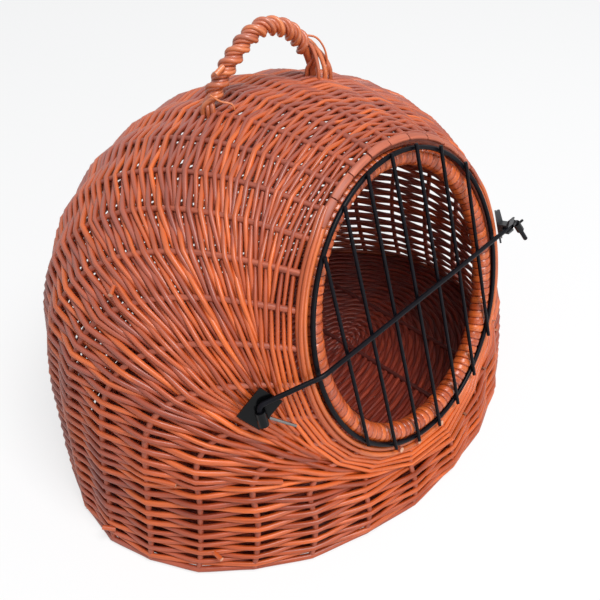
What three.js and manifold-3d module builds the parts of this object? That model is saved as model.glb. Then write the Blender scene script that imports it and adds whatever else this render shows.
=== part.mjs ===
// A domed wicker pet carrier with a round wire door in its front, a wrapped willow handle on top,
// and one cross rod that hinges the door on the left and latches it on the right.
// Millimetres, +Z up. The origin is the centre of the oval base, on the surface it stands on.
// The front faces -Y, and X runs across the front.
import * as THREE from 'three';
import { mergeVertices } from 'three/addons/utils/BufferGeometryUtils.js';
import Module from 'manifold-3d';

const wasm = await Module();
wasm.setup();

// Base
const BASE_HALF_WIDTH = 249.5;
const BASE_HALF_DEPTH = 183;
const FLOOR_THICKNESS = 5;
const BASE_STICK_RADIUS = 2.8;
const BASE_STICK_COUNT = 5;
const BASE_STICK_SPACING = 68;

// Mouth of the dome, a tall oval that leans back, its centre set back from the front of the base
const MOUTH_SET_BACK = 58.5;
const MOUTH_FORWARD = BASE_HALF_DEPTH - MOUTH_SET_BACK;
const MOUTH_HEIGHT = 182;
const MOUTH_LEAN = THREE.MathUtils.degToRad(17.5);
const MOUTH_HALF_WIDTH = 123.5;
const MOUTH_HALF_HEIGHT = 129;

// Front and back outlines of the dome, as the handles of one cubic curve each
const FRONT_FOOT_BULGE = 2.5;
const FRONT_FOOT_RISE = 22.7;
const LIP_FORWARD = 11.5;
const LIP_DROP = 12.8;
const BACK_FOOT_BULGE = 82.4;
const BACK_FOOT_RISE = 220.5;
const CROWN_REACH = 243;
const CROWN_RISE = 41.4;

// Half width from base to mouth, as the inner handles of one cubic curve
const WAIST_DRAW_IN = 29.6;
const SHOULDER_SWELL = 141.8;
// How far the widest point of a round moves towards the front low down, and to the back higher up
const LOW_SKEW = -0.05;
const HIGH_SKEW = 0.07;

// Woven wall and its stakes
const WALL_THICKNESS = 4.5;
const STAKE_COUNT = 28;
const STAKE_RADIUS = 2.5;
const FIRST_STAKE_ANGLE = THREE.MathUtils.degToRad(3);
const STAKE_LEAN = THREE.MathUtils.degToRad(14);
const STAKE_LEAN_FROM = 0.35;
const STAKE_LEAN_TO = 0.95;
const STAKE_FOOT_HEIGHT = 2;
const FOOT_BAND_HEIGHT = 14;
const UPRIGHT_FOOT_SHARE = 0.08;
const LOWER_WALL_SHARE = 0.3;

// Bound edge of the mouth
const BORDER_RADIUS = 5.2;
const BORDER_SET_BACK = 5.5;
const RING_TO_BORDER = 6;
const RIM_CORE_RADIUS = 5;
const RIM_WRAP_THICKNESS = 2.7;
const RIM_SEAM_HALF_ANGLE = THREE.MathUtils.degToRad(28);
// The hoop leaves the ring towards its top, where it lies further back and a little higher
const RIM_TOP_SET_BACK = 6;
const RIM_TOP_RISE = 2;

// Wire door
const RING_HALF_WIDTH = 114.3;
const RING_HALF_HEIGHT = 121.5;
const RING_WIRE_RADIUS = 2;
const BAR_COUNT = 7;
const BAR_SPACING = 28.7;
const BAR_RADIUS = 1.5;
const BAR_OVERHANG = 3.5;
const ROD_RADIUS = 2;
const ROD_HEIGHT = 3.9;
const ROD_BEND_X = 124;
const ROD_APEX_X = 145;
const ROD_APEX_DROP_BACK = 2.9;
const ROD_HOOK_DROP = 25;
const ROD_HOOK_SPLAY = 14.7;
const ROD_BEND_RADIUS = 5;
const SLEEVE_WALL = 1.2;
const SLEEVE_LENGTH = 5.5;
const HOOK_SLEEVE_LENGTH = 11;
const HOOK_SLEEVE_TAB = 6.5;

// Clips that carry the rod
const CLIP_PLATE_LENGTH = 28;
const CLIP_PLATE_WIDTH = 20;
const CLIP_PLATE_THICKNESS = 1.6;
const CLIP_STAND_OFF = 0.9;
const HINGE_ANCHOR_ANGLE = THREE.MathUtils.degToRad(189);
const HINGE_ANCHOR_SHARE = 0.91;
const HINGE_BARREL_LENGTH = 12;
const HINGE_BARREL_WALL = 1.7;
const HINGE_BARREL_SINK = 0.3;
const HINGE_ARM_DROP = 6;
const PLATE_TURN = THREE.MathUtils.degToRad(39);
const HINGE_PIN_START_ANGLE = THREE.MathUtils.degToRad(192.5);
const HINGE_PIN_START_SHARE = 0.916;
const HINGE_PIN_END_ANGLE = THREE.MathUtils.degToRad(197);
const HINGE_PIN_END_SHARE = 0.95;
const HINGE_PIN_RADIUS = 1.15;
const HINGE_PIN_LENGTH = 22;
const LATCH_ANCHOR_ANGLE = THREE.MathUtils.degToRad(358.4);
const LATCH_ANCHOR_SHARE = 0.975;
const LATCH_START_X = 126.4;
const LATCH_JAW_LENGTH = 8.4;
const LATCH_JAW_THICKNESS = 1.8;
const LATCH_WING_HEIGHT = 10.5;
const LATCH_WING_BACK = 8;
const LATCH_STEM_DEPTH = 8;
const LATCH_FOOT_HEIGHT = 26;
const LATCH_FOOT_WIDTH = 15;
const LATCH_LIP_FLARE = 5;
const RIVET_DROP = 9.4;
const RIVET_RADIUS = 1.5;
const RIVET_HEAD_RADIUS = 2.4;
const RIVET_HEAD_HEIGHT = 1.2;

// Handle, whose left foot stands further back than its right foot
const HANDLE_CENTRE_X = 9.5;
const HANDLE_Y = 50.5;
const HANDLE_SLANT = 6.5;
const HANDLE_HALF_SPAN = 54.5;
const HANDLE_RISE = 50;
const HANDLE_CORE_RADIUS = 2.6;
const HANDLE_SOCKET_DEPTH = 3.6;
const WRAP_STRANDS = 2;
const WRAP_RADIUS = 2.8;
const WRAP_TURNS = 6.5;
const WRAP_END_MARGIN = 0.09;
const SIDE_ROD_RADIUS = 4;
const SIDE_ROD_OFFSET_Y = -18;
const SIDE_ROD_OFFSET_X = 8;
const SIDE_ROD_TOP = 32;
const SIDE_ROD_INSET = 9.4;
const SIDE_ROD_BOW = 3;

// Space between pieces that touch
const GAP = 0.3;
const STAKE_GAP = 0.4;
const WALL_EDGE_GAP = 0.8;
const SOCKET_GAP = 0.7;
const SOCKET_REACH = 12;

// Fineness of the curved surfaces
const LOWER_ROWS = 3;
const DOME_ROWS = 9;
const STAKE_SIDES = 6;
const OVAL_STEPS = 48;
const RIM_WRAP_SEGMENTS = 7;
const BOW_STEPS = 26;
const SIDE_ROD_STEPS = 8;
const WRAP_STEPS_PER_TURN = 18;

const TURN = 2 * Math.PI;
const willow = { color: 0xb5602f, roughness: 0.62, metalness: 0 };
const darkWillow = { color: 0x94502c, roughness: 0.66, metalness: 0 };
const wrapWillow = { color: 0xc66a26, roughness: 0.4, metalness: 0 };
const coatedWire = { color: 0x15171c, roughness: 0.3, metalness: 0.2 };
const blackClip = { color: 0x0c0c0e, roughness: 0.22, metalness: 0 };
const bareSteel = { color: 0x9a9a96, roughness: 0.3, metalness: 0.9 };

// Helpers that make closed bodies

// Rings of points, each a closed loop, joined into one closed skin. The rings either join end to
// end or are closed by a lid at both ends.
function loft(rings, joinsUp = false) {
  const sides = rings[0].length;
  const positions = rings.flat().flatMap((p) => [p.x, p.y, p.z]);
  const index = [];
  const spans = joinsUp ? rings.length : rings.length - 1;
  for (let r = 0; r < spans; r += 1) {
    const near = r * sides;
    const far = ((r + 1) % rings.length) * sides;
    for (let k = 0; k < sides; k += 1) {
      const next = (k + 1) % sides;
      index.push(near + k, near + next, far + next);
      index.push(near + k, far + next, far + k);
    }
  }
  if (!joinsUp) {
    const last = (rings.length - 1) * sides;
    for (let k = 1; k < sides - 1; k += 1) {
      index.push(0, k + 1, k);
      index.push(last, last + k, last + k + 1);
    }
  }
  const geometry = new THREE.BufferGeometry();
  geometry.setAttribute('position', new THREE.Float32BufferAttribute(positions, 3));
  geometry.setIndex(index);
  return geometry;
}

function circleShape(radius, sides) {
  const points = [];
  for (let k = 0; k < sides; k += 1) {
    const angle = (TURN * k) / sides;
    points.push(new THREE.Vector2(radius * Math.cos(angle), radius * Math.sin(angle)));
  }
  return new THREE.Shape(points);
}

function rodAlong(curve, radius, sides, steps) {
  return new THREE.ExtrudeGeometry(circleShape(radius, sides), {
    steps,
    extrudePath: curve,
    bevelEnabled: false,
  });
}

function straightRod(start, end, radius, sides = 8) {
  return rodAlong(new THREE.LineCurve3(start, end), radius, sides, 1);
}

// A path of straight stretches whose corners are rounded by short curves.
function bentPath(points, bendRadius) {
  const path = [];
  path.push(points[0].clone());
  for (let k = 1; k < points.length - 1; k += 1) {
    const corner = points[k];
    const before = points[k - 1].clone().sub(corner);
    const after = points[k + 1].clone().sub(corner);
    const reach = Math.min(bendRadius, before.length() * 0.45, after.length() * 0.45);
    const enter = corner.clone().add(before.setLength(reach));
    const leave = corner.clone().add(after.setLength(reach));
    const bend = new THREE.QuadraticBezierCurve3(enter, corner, leave);
    path.push(...bend.getPoints(4));
  }
  path.push(points[points.length - 1].clone());
  return path;
}

// A round tube whose rings stand square to the path, for paths given as points.
function tubeThrough(points, radius, sides, joinsUp = false) {
  const count = points.length;
  const tangents = points.map((point, k) => {
    const before = joinsUp ? points[(k + count - 1) % count] : points[Math.max(k - 1, 0)];
    const after = joinsUp ? points[(k + 1) % count] : points[Math.min(k + 1, count - 1)];
    return after.clone().sub(before).normalize();
  });
  const across = new THREE.Vector3(0.31, 0.17, 0.93);
  across.addScaledVector(tangents[0], -across.dot(tangents[0])).normalize();
  const rings = points.map((point, k) => {
    across.addScaledVector(tangents[k], -across.dot(tangents[k])).normalize();
    const side = tangents[k].clone().cross(across);
    const ring = [];
    for (let j = 0; j < sides; j += 1) {
      const angle = (TURN * j) / sides;
      const offset = across.clone().multiplyScalar(radius * Math.cos(angle));
      offset.addScaledVector(side, radius * Math.sin(angle));
      ring.push(point.clone().add(offset));
    }
    return ring;
  });
  return loft(rings, joinsUp);
}

function toSolid(geometry, matrix = new THREE.Matrix4()) {
  const plain = geometry.clone().applyMatrix4(matrix);
  plain.deleteAttribute('normal');
  plain.deleteAttribute('uv');
  const merged = mergeVertices(plain, 1e-4);
  const mesh = new wasm.Mesh({
    numProp: 3,
    vertProperties: new Float32Array(merged.attributes.position.array),
    triVerts: new Uint32Array(merged.index.array),
  });
  mesh.merge();
  return new wasm.Manifold(mesh);
}

function fromSolid(solid) {
  const mesh = solid.getMesh();
  const geometry = new THREE.BufferGeometry();
  geometry.setAttribute('position', new THREE.BufferAttribute(mesh.vertProperties.slice(), 3));
  geometry.setIndex(new THREE.BufferAttribute(mesh.triVerts.slice(), 1));
  return geometry;
}

const carrier = new THREE.Group();
const mouth = new THREE.Group();
mouth.position.set(0, -MOUTH_FORWARD, MOUTH_HEIGHT);
mouth.rotation.x = Math.PI / 2 - MOUTH_LEAN;
carrier.add(mouth);
mouth.updateMatrixWorld(true);
const worldToMouth = mouth.matrixWorld.clone().invert();

function addPiece(name, geometry, finish, parent = carrier) {
  geometry.computeVertexNormals();
  const mesh = new THREE.Mesh(geometry, new THREE.MeshStandardMaterial(finish));
  mesh.name = name;
  parent.add(mesh);
  return mesh;
}

// The outer skin of the basket: every round is an oval that spans from the front outline to the
// back outline, level at the base and leaning with the mouth at the top.

const up = new THREE.Vector2(Math.sin(MOUTH_LEAN), Math.cos(MOUTH_LEAN));
const outward = new THREE.Vector2(-Math.cos(MOUTH_LEAN), Math.sin(MOUTH_LEAN));
const mouthCentre = new THREE.Vector2(-MOUTH_FORWARD, MOUTH_HEIGHT);
const mouthBottom = mouthCentre.clone().addScaledVector(up, -MOUTH_HALF_HEIGHT);
const mouthTop = mouthCentre.clone().addScaledVector(up, MOUTH_HALF_HEIGHT);

const frontOutline = new THREE.CubicBezierCurve(
  new THREE.Vector2(-BASE_HALF_DEPTH, 0),
  new THREE.Vector2(-BASE_HALF_DEPTH - FRONT_FOOT_BULGE, FRONT_FOOT_RISE),
  mouthBottom.clone().addScaledVector(outward, LIP_FORWARD).addScaledVector(up, -LIP_DROP),
  mouthBottom,
);
const backOutline = new THREE.CubicBezierCurve(
  new THREE.Vector2(BASE_HALF_DEPTH, 0),
  new THREE.Vector2(BASE_HALF_DEPTH + BACK_FOOT_BULGE, BACK_FOOT_RISE),
  mouthTop.clone().add(new THREE.Vector2(CROWN_REACH, CROWN_RISE)),
  mouthTop,
);

function cubic(a, b, c, d, s) {
  const r = 1 - s;
  return r * r * r * a + 3 * r * r * s * b + 3 * r * s * s * c + s * s * s * d;
}

function halfWidth(s) {
  const waist = BASE_HALF_WIDTH - WAIST_DRAW_IN;
  const shoulder = MOUTH_HALF_WIDTH + SHOULDER_SWELL;
  return cubic(BASE_HALF_WIDTH, waist, shoulder, MOUTH_HALF_WIDTH, s);
}

function skinPoint(angle, s) {
  const cos = Math.cos(angle);
  const sin = Math.sin(angle);
  const front = frontOutline.getPoint(s);
  const back = backOutline.getPoint(s);
  const skew = cubic(0, LOW_SKEW, HIGH_SKEW, 0, s);
  const share = 0.5 + 0.5 * sin + skew * cos * cos;
  const y = THREE.MathUtils.lerp(front.x, back.x, share);
  const z = THREE.MathUtils.lerp(front.y, back.y, share);
  return new THREE.Vector3(halfWidth(s) * cos, y, z);
}

function skinNormal(angle, s) {
  const step = 1e-3;
  const low = Math.min(Math.max(s, step), 1 - step);
  const around = skinPoint(angle + step, low).sub(skinPoint(angle - step, low));
  const along = skinPoint(angle, low + step).sub(skinPoint(angle, low - step));
  return around.cross(along).normalize();
}

// A stake leaves the base at its own angle and leans towards the top of the mouth.
function stakeAngle(baseAngle, s) {
  const lean = STAKE_LEAN * THREE.MathUtils.smoothstep(s, STAKE_LEAN_FROM, STAKE_LEAN_TO);
  return baseAngle + lean * Math.cos(baseAngle);
}

// The direction into the basket, level at the foot so that every wall stands flat.
function inwardAt(angle, s) {
  const inward = skinNormal(angle, s).negate();
  inward.z *= THREE.MathUtils.smoothstep(s, 0, UPRIGHT_FOOT_SHARE);
  return inward.normalize();
}

function wallPoint(baseAngle, s, depth) {
  const angle = stakeAngle(baseAngle, s);
  return skinPoint(angle, s).addScaledVector(inwardAt(angle, s), depth);
}

// The share of a stake's run that lies a given length past a share s.
function stepAlong(baseAngle, s, length) {
  const probe = 2e-3;
  const direction = s + probe <= 1 ? 1 : -1;
  const rate = wallPoint(baseAngle, s, 0).distanceTo(wallPoint(baseAngle, s + direction * probe, 0));
  return s + (length * probe) / rate;
}

function shareAtHeight(baseAngle, height) {
  let low = 0;
  let high = 0.5;
  for (let k = 0; k < 30; k += 1) {
    const middle = (low + high) / 2;
    if (wallPoint(baseAngle, middle, 0).z < height) low = middle;
    else high = middle;
  }
  return low;
}

// Ovals round the mouth, in the mouth's own frame: x across, y up the slope, z outwards.
function mouthOval(halfAcross, halfUp, out, count) {
  const points = [];
  for (let k = 0; k < count; k += 1) {
    const angle = (TURN * k) / count;
    points.push(new THREE.Vector3(halfAcross * Math.cos(angle), halfUp * Math.sin(angle), out));
  }
  return points;
}

// How far in front of the ring's plane each layer of the door lies, and how far behind it the rim.
const barOut = RING_WIRE_RADIUS + BAR_RADIUS + GAP;
const rodOut = barOut + BAR_RADIUS + ROD_RADIUS + GAP;
const rimRadius = RIM_CORE_RADIUS + GAP + RIM_WRAP_THICKNESS;
const rimOut = barOut - BAR_RADIUS - 2 * GAP - rimRadius;
const rimInset = Math.sqrt((rimRadius + RING_WIRE_RADIUS + GAP) ** 2 - rimOut ** 2);

function borderOval(count) {
  const halfAcross = RING_HALF_WIDTH + RING_TO_BORDER;
  const halfUp = RING_HALF_HEIGHT + RING_TO_BORDER;
  return mouthOval(halfAcross, halfUp, -BORDER_SET_BACK, count);
}

const rimHalfAcross = RING_HALF_WIDTH - rimInset;
const rimHalfUp = RING_HALF_HEIGHT - rimInset;

function rimOval(count) {
  return mouthOval(rimHalfAcross, rimHalfUp, rimOut, count).map((place) => {
    const height = (1 + place.y / rimHalfUp) / 2;
    place.y += RIM_TOP_RISE * height ** 2;
    place.z -= RIM_TOP_SET_BACK * height ** 2;
    return place;
  });
}

const denseBorder = borderOval(OVAL_STEPS * 4);
const denseRim = rimOval(OVAL_STEPS * 4);

function distanceTo(points, place) {
  return Math.min(...points.map((p) => p.distanceTo(place)));
}

// Where a piece of the wall, from one depth to another, has to stop short of the bound edge.
function mouthEndShare(baseAngle, nearDepth, farDepth, space) {
  const clears = (s) => {
    for (let k = 0; k <= 4; k += 1) {
      const depth = THREE.MathUtils.lerp(nearDepth, farDepth, k / 4);
      const place = wallPoint(baseAngle, s, depth).applyMatrix4(worldToMouth);
      if (distanceTo(denseBorder, place) < BORDER_RADIUS + space) return false;
      if (distanceTo(denseRim, place) < rimRadius + space) return false;
    }
    return true;
  };
  let low = 0.85;
  let high = 1;
  for (let k = 0; k < 16; k += 1) {
    const middle = (low + high) / 2;
    if (clears(middle)) low = middle;
    else high = middle;
  }
  return low;
}

// Woven walls

const COLUMN_COUNT = STAKE_COUNT * 2;
const columnAngles = [];
for (let k = 0; k < COLUMN_COUNT; k += 1) {
  columnAngles.push(FIRST_STAKE_ANGLE + (TURN * k) / COLUMN_COUNT);
}

const FOOT = 0;
const LOWER = 1;
const DOME = 2;
const bandRows = [1, LOWER_ROWS, DOME_ROWS];
const columnBands = columnAngles.map((angle) => {
  const footTop = shareAtHeight(angle, FOOT_BAND_HEIGHT);
  const lowerStart = stepAlong(angle, footTop, GAP);
  const lowerTop = LOWER_WALL_SHARE;
  const domeStart = stepAlong(angle, lowerTop, GAP);
  const domeTop = mouthEndShare(angle, 0, WALL_THICKNESS, WALL_EDGE_GAP);
  return [
    [0, footTop],
    [lowerStart, lowerTop],
    [domeStart, domeTop],
  ];
});

// A band of wall is a closed loop of sections, one per column: up the inside, down the outside.
function wallBand(band) {
  const rows = bandRows[band];
  const rings = columnAngles.map((angle, column) => {
    const [start, end] = columnBands[column][band];
    const ring = [];
    for (let k = 0; k <= rows; k += 1) {
      ring.push(wallPoint(angle, THREE.MathUtils.lerp(start, end, k / rows), WALL_THICKNESS));
    }
    for (let k = rows; k >= 0; k -= 1) {
      ring.push(wallPoint(angle, THREE.MathUtils.lerp(start, end, k / rows), 0));
    }
    return ring;
  });
  return loft(rings, true);
}

// Stakes stand against the inside of the wall and bend at the same rows as the wall does.
const stakeDepth = WALL_THICKNESS + STAKE_GAP + STAKE_RADIUS;

function stakeGeometry(column) {
  const angle = columnAngles[column];
  const [foot, lower, dome] = columnBands[column];
  const nearDepth = stakeDepth - STAKE_RADIUS;
  const farDepth = stakeDepth + STAKE_RADIUS;
  const top = Math.min(mouthEndShare(angle, nearDepth, farDepth, 2 * WALL_EDGE_GAP), dome[1]);
  const shares = [shareAtHeight(angle, STAKE_FOOT_HEIGHT), foot[1]];
  for (let k = 1; k <= LOWER_ROWS; k += 1) {
    shares.push(THREE.MathUtils.lerp(lower[0], lower[1], k / LOWER_ROWS));
  }
  for (let k = 1; k <= DOME_ROWS; k += 1) {
    const share = THREE.MathUtils.lerp(dome[0], dome[1], k / DOME_ROWS);
    const isClearOfTop = share < top - 1 / (2 * DOME_ROWS * DOME_ROWS);
    if (isClearOfTop) shares.push(share);
  }
  shares.push(top);
  const rings = shares.map((s, k) => {
    const centre = wallPoint(angle, s, stakeDepth);
    const before = wallPoint(angle, shares[Math.max(k - 1, 0)], stakeDepth);
    const after = wallPoint(angle, shares[Math.min(k + 1, shares.length - 1)], stakeDepth);
    const tangent = after.sub(before).normalize();
    const inward = inwardAt(stakeAngle(angle, s), s);
    inward.addScaledVector(tangent, -inward.dot(tangent)).normalize();
    const side = tangent.clone().cross(inward);
    const ring = [];
    for (let j = 0; j < STAKE_SIDES; j += 1) {
      const turn = (TURN * j) / STAKE_SIDES;
      const offset = inward.clone().multiplyScalar(STAKE_RADIUS * Math.cos(turn));
      offset.addScaledVector(side, STAKE_RADIUS * Math.sin(turn));
      ring.push(centre.clone().add(offset));
    }
    return ring;
  });
  return loft(rings);
}

// Floor, a flat oval inside the ring of stakes

const floorDepth = stakeDepth + STAKE_RADIUS + GAP;

function floorGeometry() {
  const levels = [0, FLOOR_THICKNESS];
  const rings = levels.map((height) =>
    columnAngles.map((angle) => {
      const place = wallPoint(angle, shareAtHeight(angle, height), floorDepth);
      return new THREE.Vector3(place.x, place.y, height);
    }),
  );
  return loft(rings);
}

function baseStick(offset) {
  const halfWidthInside = BASE_HALF_WIDTH - floorDepth - BASE_STICK_RADIUS;
  const halfDepthInside = BASE_HALF_DEPTH - floorDepth - BASE_STICK_RADIUS;
  const halfLength = halfDepthInside * Math.sqrt(1 - (offset / halfWidthInside) ** 2);
  const height = FLOOR_THICKNESS + GAP + BASE_STICK_RADIUS;
  return straightRod(
    new THREE.Vector3(offset, -halfLength, height),
    new THREE.Vector3(offset, halfLength, height),
    BASE_STICK_RADIUS,
  );
}

addPiece('woven_floor', floorGeometry(), willow);
for (let k = 0; k < BASE_STICK_COUNT; k += 1) {
  const offset = (k - (BASE_STICK_COUNT - 1) / 2) * BASE_STICK_SPACING;
  addPiece(`base_stick_${k + 1}`, baseStick(offset), darkWillow);
}

// Handle: a bow of rods, its wrapping, and the loose rod beside its right foot

function roofHeight(x, y) {
  let nearest = Infinity;
  let height = 0;
  for (let a = 30; a <= 150; a += 1) {
    for (let k = 50; k <= 100; k += 1) {
      const place = skinPoint(THREE.MathUtils.degToRad(a), k / 100);
      const distance = Math.hypot(place.x - x, place.y - y);
      if (distance < nearest) {
        nearest = distance;
        height = place.z;
      }
    }
  }
  return height;
}

const leftFootY = HANDLE_Y + HANDLE_SLANT;
const rightFootY = HANDLE_Y - HANDLE_SLANT;
const leftFootHeight = roofHeight(HANDLE_CENTRE_X - HANDLE_HALF_SPAN, leftFootY);
const rightFootHeight = roofHeight(HANDLE_CENTRE_X + HANDLE_HALF_SPAN, rightFootY);
const bowShape = [
  [-1, 0],
  [-0.8, 0.3],
  [-0.56, 0.6],
  [-0.3, 0.85],
  [0, 1],
  [0.3, 0.95],
  [0.6, 0.76],
  [0.85, 0.42],
  [1, 0],
];
const bowPoints = bowShape.map(([across, rise]) => {
  const foot = THREE.MathUtils.lerp(leftFootHeight, rightFootHeight, (across + 1) / 2);
  const x = HANDLE_CENTRE_X + across * HANDLE_HALF_SPAN;
  const y = HANDLE_Y - across * HANDLE_SLANT;
  return new THREE.Vector3(x, y, foot + rise * HANDLE_RISE);
});

function below(place, depth) {
  return new THREE.Vector3(place.x, place.y, place.z - depth);
}

// The bow's line, with both ends let into the roof, through each of the given depths
function bowCurve(...depths) {
  const leftEnds = depths.map((depth) => below(bowPoints[0], depth)).reverse();
  const rightEnds = depths.map((depth) => below(bowPoints[bowPoints.length - 1], depth));
  return new THREE.CatmullRomCurve3([...leftEnds, ...bowPoints, ...rightEnds], false, 'centripetal');
}
const bow = bowCurve(HANDLE_SOCKET_DEPTH);

const wrapOrbit = HANDLE_CORE_RADIUS + GAP + WRAP_RADIUS;

function wrapPoints(startTurn) {
  const count = Math.round(WRAP_TURNS * WRAP_STEPS_PER_TURN);
  const points = [];
  for (let k = 0; k <= count; k += 1) {
    const share = THREE.MathUtils.lerp(WRAP_END_MARGIN, 1 - WRAP_END_MARGIN, k / count);
    const centre = bow.getPointAt(share);
    const tangent = bow.getTangentAt(share);
    const side = tangent.clone().cross(new THREE.Vector3(0, 1, 0)).normalize();
    const level = side.clone().cross(tangent);
    const turn = startTurn + (TURN * k) / WRAP_STEPS_PER_TURN;
    centre.addScaledVector(level, wrapOrbit * Math.cos(turn));
    centre.addScaledVector(side, wrapOrbit * Math.sin(turn));
    points.push(centre);
  }
  return points;
}

const wrapPaths = [];
for (let k = 0; k < WRAP_STRANDS; k += 1) wrapPaths.push(wrapPoints((TURN * k) / WRAP_STRANDS));

// The least space between neighbouring turns of the wrapping, measured on its own points.
function leastGap(first, second, skip) {
  let least = Infinity;
  for (let a = 0; a < first.length; a += 1) {
    for (let b = a + skip; b < second.length; b += 1) {
      least = Math.min(least, first[a].distanceTo(second[b]) - 2 * WRAP_RADIUS);
    }
  }
  return least;
}
const overHalfTurn = Math.ceil(WRAP_STEPS_PER_TURN * 0.6);
const ownGap = leastGap(wrapPaths[0], wrapPaths[0], overHalfTurn);
const strandGap = leastGap(wrapPaths[0], wrapPaths[1], 0);
console.log(`handle wrap: least gap to itself ${ownGap.toFixed(2)} mm`);
console.log(`handle wrap: least gap between its strands ${strandGap.toFixed(2)} mm`);

const sideFootX = HANDLE_CENTRE_X + HANDLE_HALF_SPAN + SIDE_ROD_OFFSET_X;
const sideFootY = rightFootY + SIDE_ROD_OFFSET_Y;
const sideFoot = new THREE.Vector3(sideFootX, sideFootY, roofHeight(sideFootX, sideFootY));
const sideTop = new THREE.Vector3(
  HANDLE_CENTRE_X + HANDLE_HALF_SPAN - SIDE_ROD_INSET,
  rightFootY - wrapOrbit - WRAP_RADIUS - SIDE_ROD_RADIUS - GAP,
  rightFootHeight + SIDE_ROD_TOP,
);

function sideRodCurve(...depths) {
  const middle = sideTop.clone().lerp(sideFoot, 0.55);
  middle.x += SIDE_ROD_BOW;
  const ends = depths.map((depth) => below(sideFoot, depth));
  return new THREE.CatmullRomCurve3([sideTop, middle, sideFoot, ...ends], false, 'centripetal');
}

addPiece('handle_bow', rodAlong(bow, HANDLE_CORE_RADIUS, 8, BOW_STEPS), willow);
wrapPaths.forEach((path, k) => {
  addPiece(`handle_wrap_${k + 1}`, tubeThrough(path, WRAP_RADIUS, 6), wrapWillow);
});
const sideRod = rodAlong(sideRodCurve(HANDLE_SOCKET_DEPTH), SIDE_ROD_RADIUS, 8, SIDE_ROD_STEPS);
addPiece('handle_side_rod', sideRod, willow);

// Walls, with the handle's sockets cut through the roof

const throughRoof = HANDLE_SOCKET_DEPTH + SOCKET_REACH;
const deepBow = bowCurve(HANDLE_SOCKET_DEPTH, throughRoof);
const deepSideRod = sideRodCurve(HANDLE_SOCKET_DEPTH, throughRoof);
const bowSockets = rodAlong(deepBow, HANDLE_CORE_RADIUS + SOCKET_GAP, 8, BOW_STEPS * 2);
const sideSocket = rodAlong(deepSideRod, SIDE_ROD_RADIUS + SOCKET_GAP, 8, SIDE_ROD_STEPS * 2);
const dome = toSolid(wallBand(DOME)).subtract(toSolid(bowSockets)).subtract(toSolid(sideSocket));

addPiece('foot_band', wallBand(FOOT), darkWillow);
addPiece('lower_wall', wallBand(LOWER), willow);
addPiece('dome_wall', fromSolid(dome), willow);

for (let k = 0; k < STAKE_COUNT; k += 1) {
  const number = String(k + 1).padStart(2, '0');
  addPiece(`stake_${number}`, stakeGeometry(k * 2), darkWillow);
}

// Bound edge of the mouth: the border outside the wire ring, and the wrapped hoop inside it

const borderPath = borderOval(OVAL_STEPS);
const rimPath = rimOval(OVAL_STEPS);
addPiece('mouth_border', tubeThrough(borderPath, BORDER_RADIUS, 8, true), willow, mouth);
addPiece('rim_hoop', tubeThrough(rimPath, RIM_CORE_RADIUS, 6, true), darkWillow, mouth);

// The wrapping is a gutter round the hoop, open along a seam at its hidden back.
function rimWrap() {
  const backward = -Math.PI / 2;
  const first = backward + RIM_SEAM_HALF_ANGLE;
  const last = backward + TURN - RIM_SEAM_HALF_ANGLE;
  const halfSegment = (last - first) / (2 * RIM_WRAP_SEGMENTS);
  const inner = (RIM_CORE_RADIUS + GAP) / Math.cos(halfSegment);
  const rings = rimPath.map((centre) => {
    const radial = new THREE.Vector3(centre.x / rimHalfAcross ** 2, centre.y / rimHalfUp ** 2, 0);
    radial.normalize();
    const pointAt = (radius, k) => {
      const turn = THREE.MathUtils.lerp(first, last, k / RIM_WRAP_SEGMENTS);
      const place = centre.clone().addScaledVector(radial, radius * Math.cos(turn));
      place.z += radius * Math.sin(turn);
      return place;
    };
    const ring = [];
    for (let k = 0; k <= RIM_WRAP_SEGMENTS; k += 1) ring.push(pointAt(inner, k));
    for (let k = RIM_WRAP_SEGMENTS; k >= 0; k -= 1) ring.push(pointAt(rimRadius, k));
    return ring;
  });
  return loft(rings, true);
}

addPiece('rim_wrap', rimWrap(), wrapWillow, mouth);

// Wire door

const ringOval = mouthOval(RING_HALF_WIDTH, RING_HALF_HEIGHT, 0, OVAL_STEPS);
addPiece('door_ring', tubeThrough(ringOval, RING_WIRE_RADIUS, 6, true), coatedWire, mouth);

for (let k = 0; k < BAR_COUNT; k += 1) {
  const across = (k - (BAR_COUNT - 1) / 2) * BAR_SPACING;
  const reach = RING_HALF_HEIGHT * Math.sqrt(1 - (across / RING_HALF_WIDTH) ** 2) + BAR_OVERHANG;
  const bar = straightRod(
    new THREE.Vector3(across, -reach, barOut),
    new THREE.Vector3(across, reach, barOut),
    BAR_RADIUS,
  );
  addPiece(`door_bar_${k + 1}`, bar, coatedWire, mouth);
}

// Seats of the two clips on the flanks, in the mouth's frame

function seatOnFlank(angle, share) {
  const place = skinPoint(angle, share).applyMatrix4(worldToMouth);
  const normal = skinNormal(angle, share).transformDirection(worldToMouth);
  return { place, normal };
}

const hingeSeat = seatOnFlank(HINGE_ANCHOR_ANGLE, HINGE_ANCHOR_SHARE);
const barrelBore = ROD_RADIUS + GAP;
const barrelRadius = barrelBore + HINGE_BARREL_WALL;
const barrelStand = CLIP_STAND_OFF + CLIP_PLATE_THICKNESS + barrelRadius - HINGE_BARREL_SINK;
const hingeAxis = hingeSeat.place.clone();
hingeAxis.addScaledVector(hingeSeat.normal, barrelStand);

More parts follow.
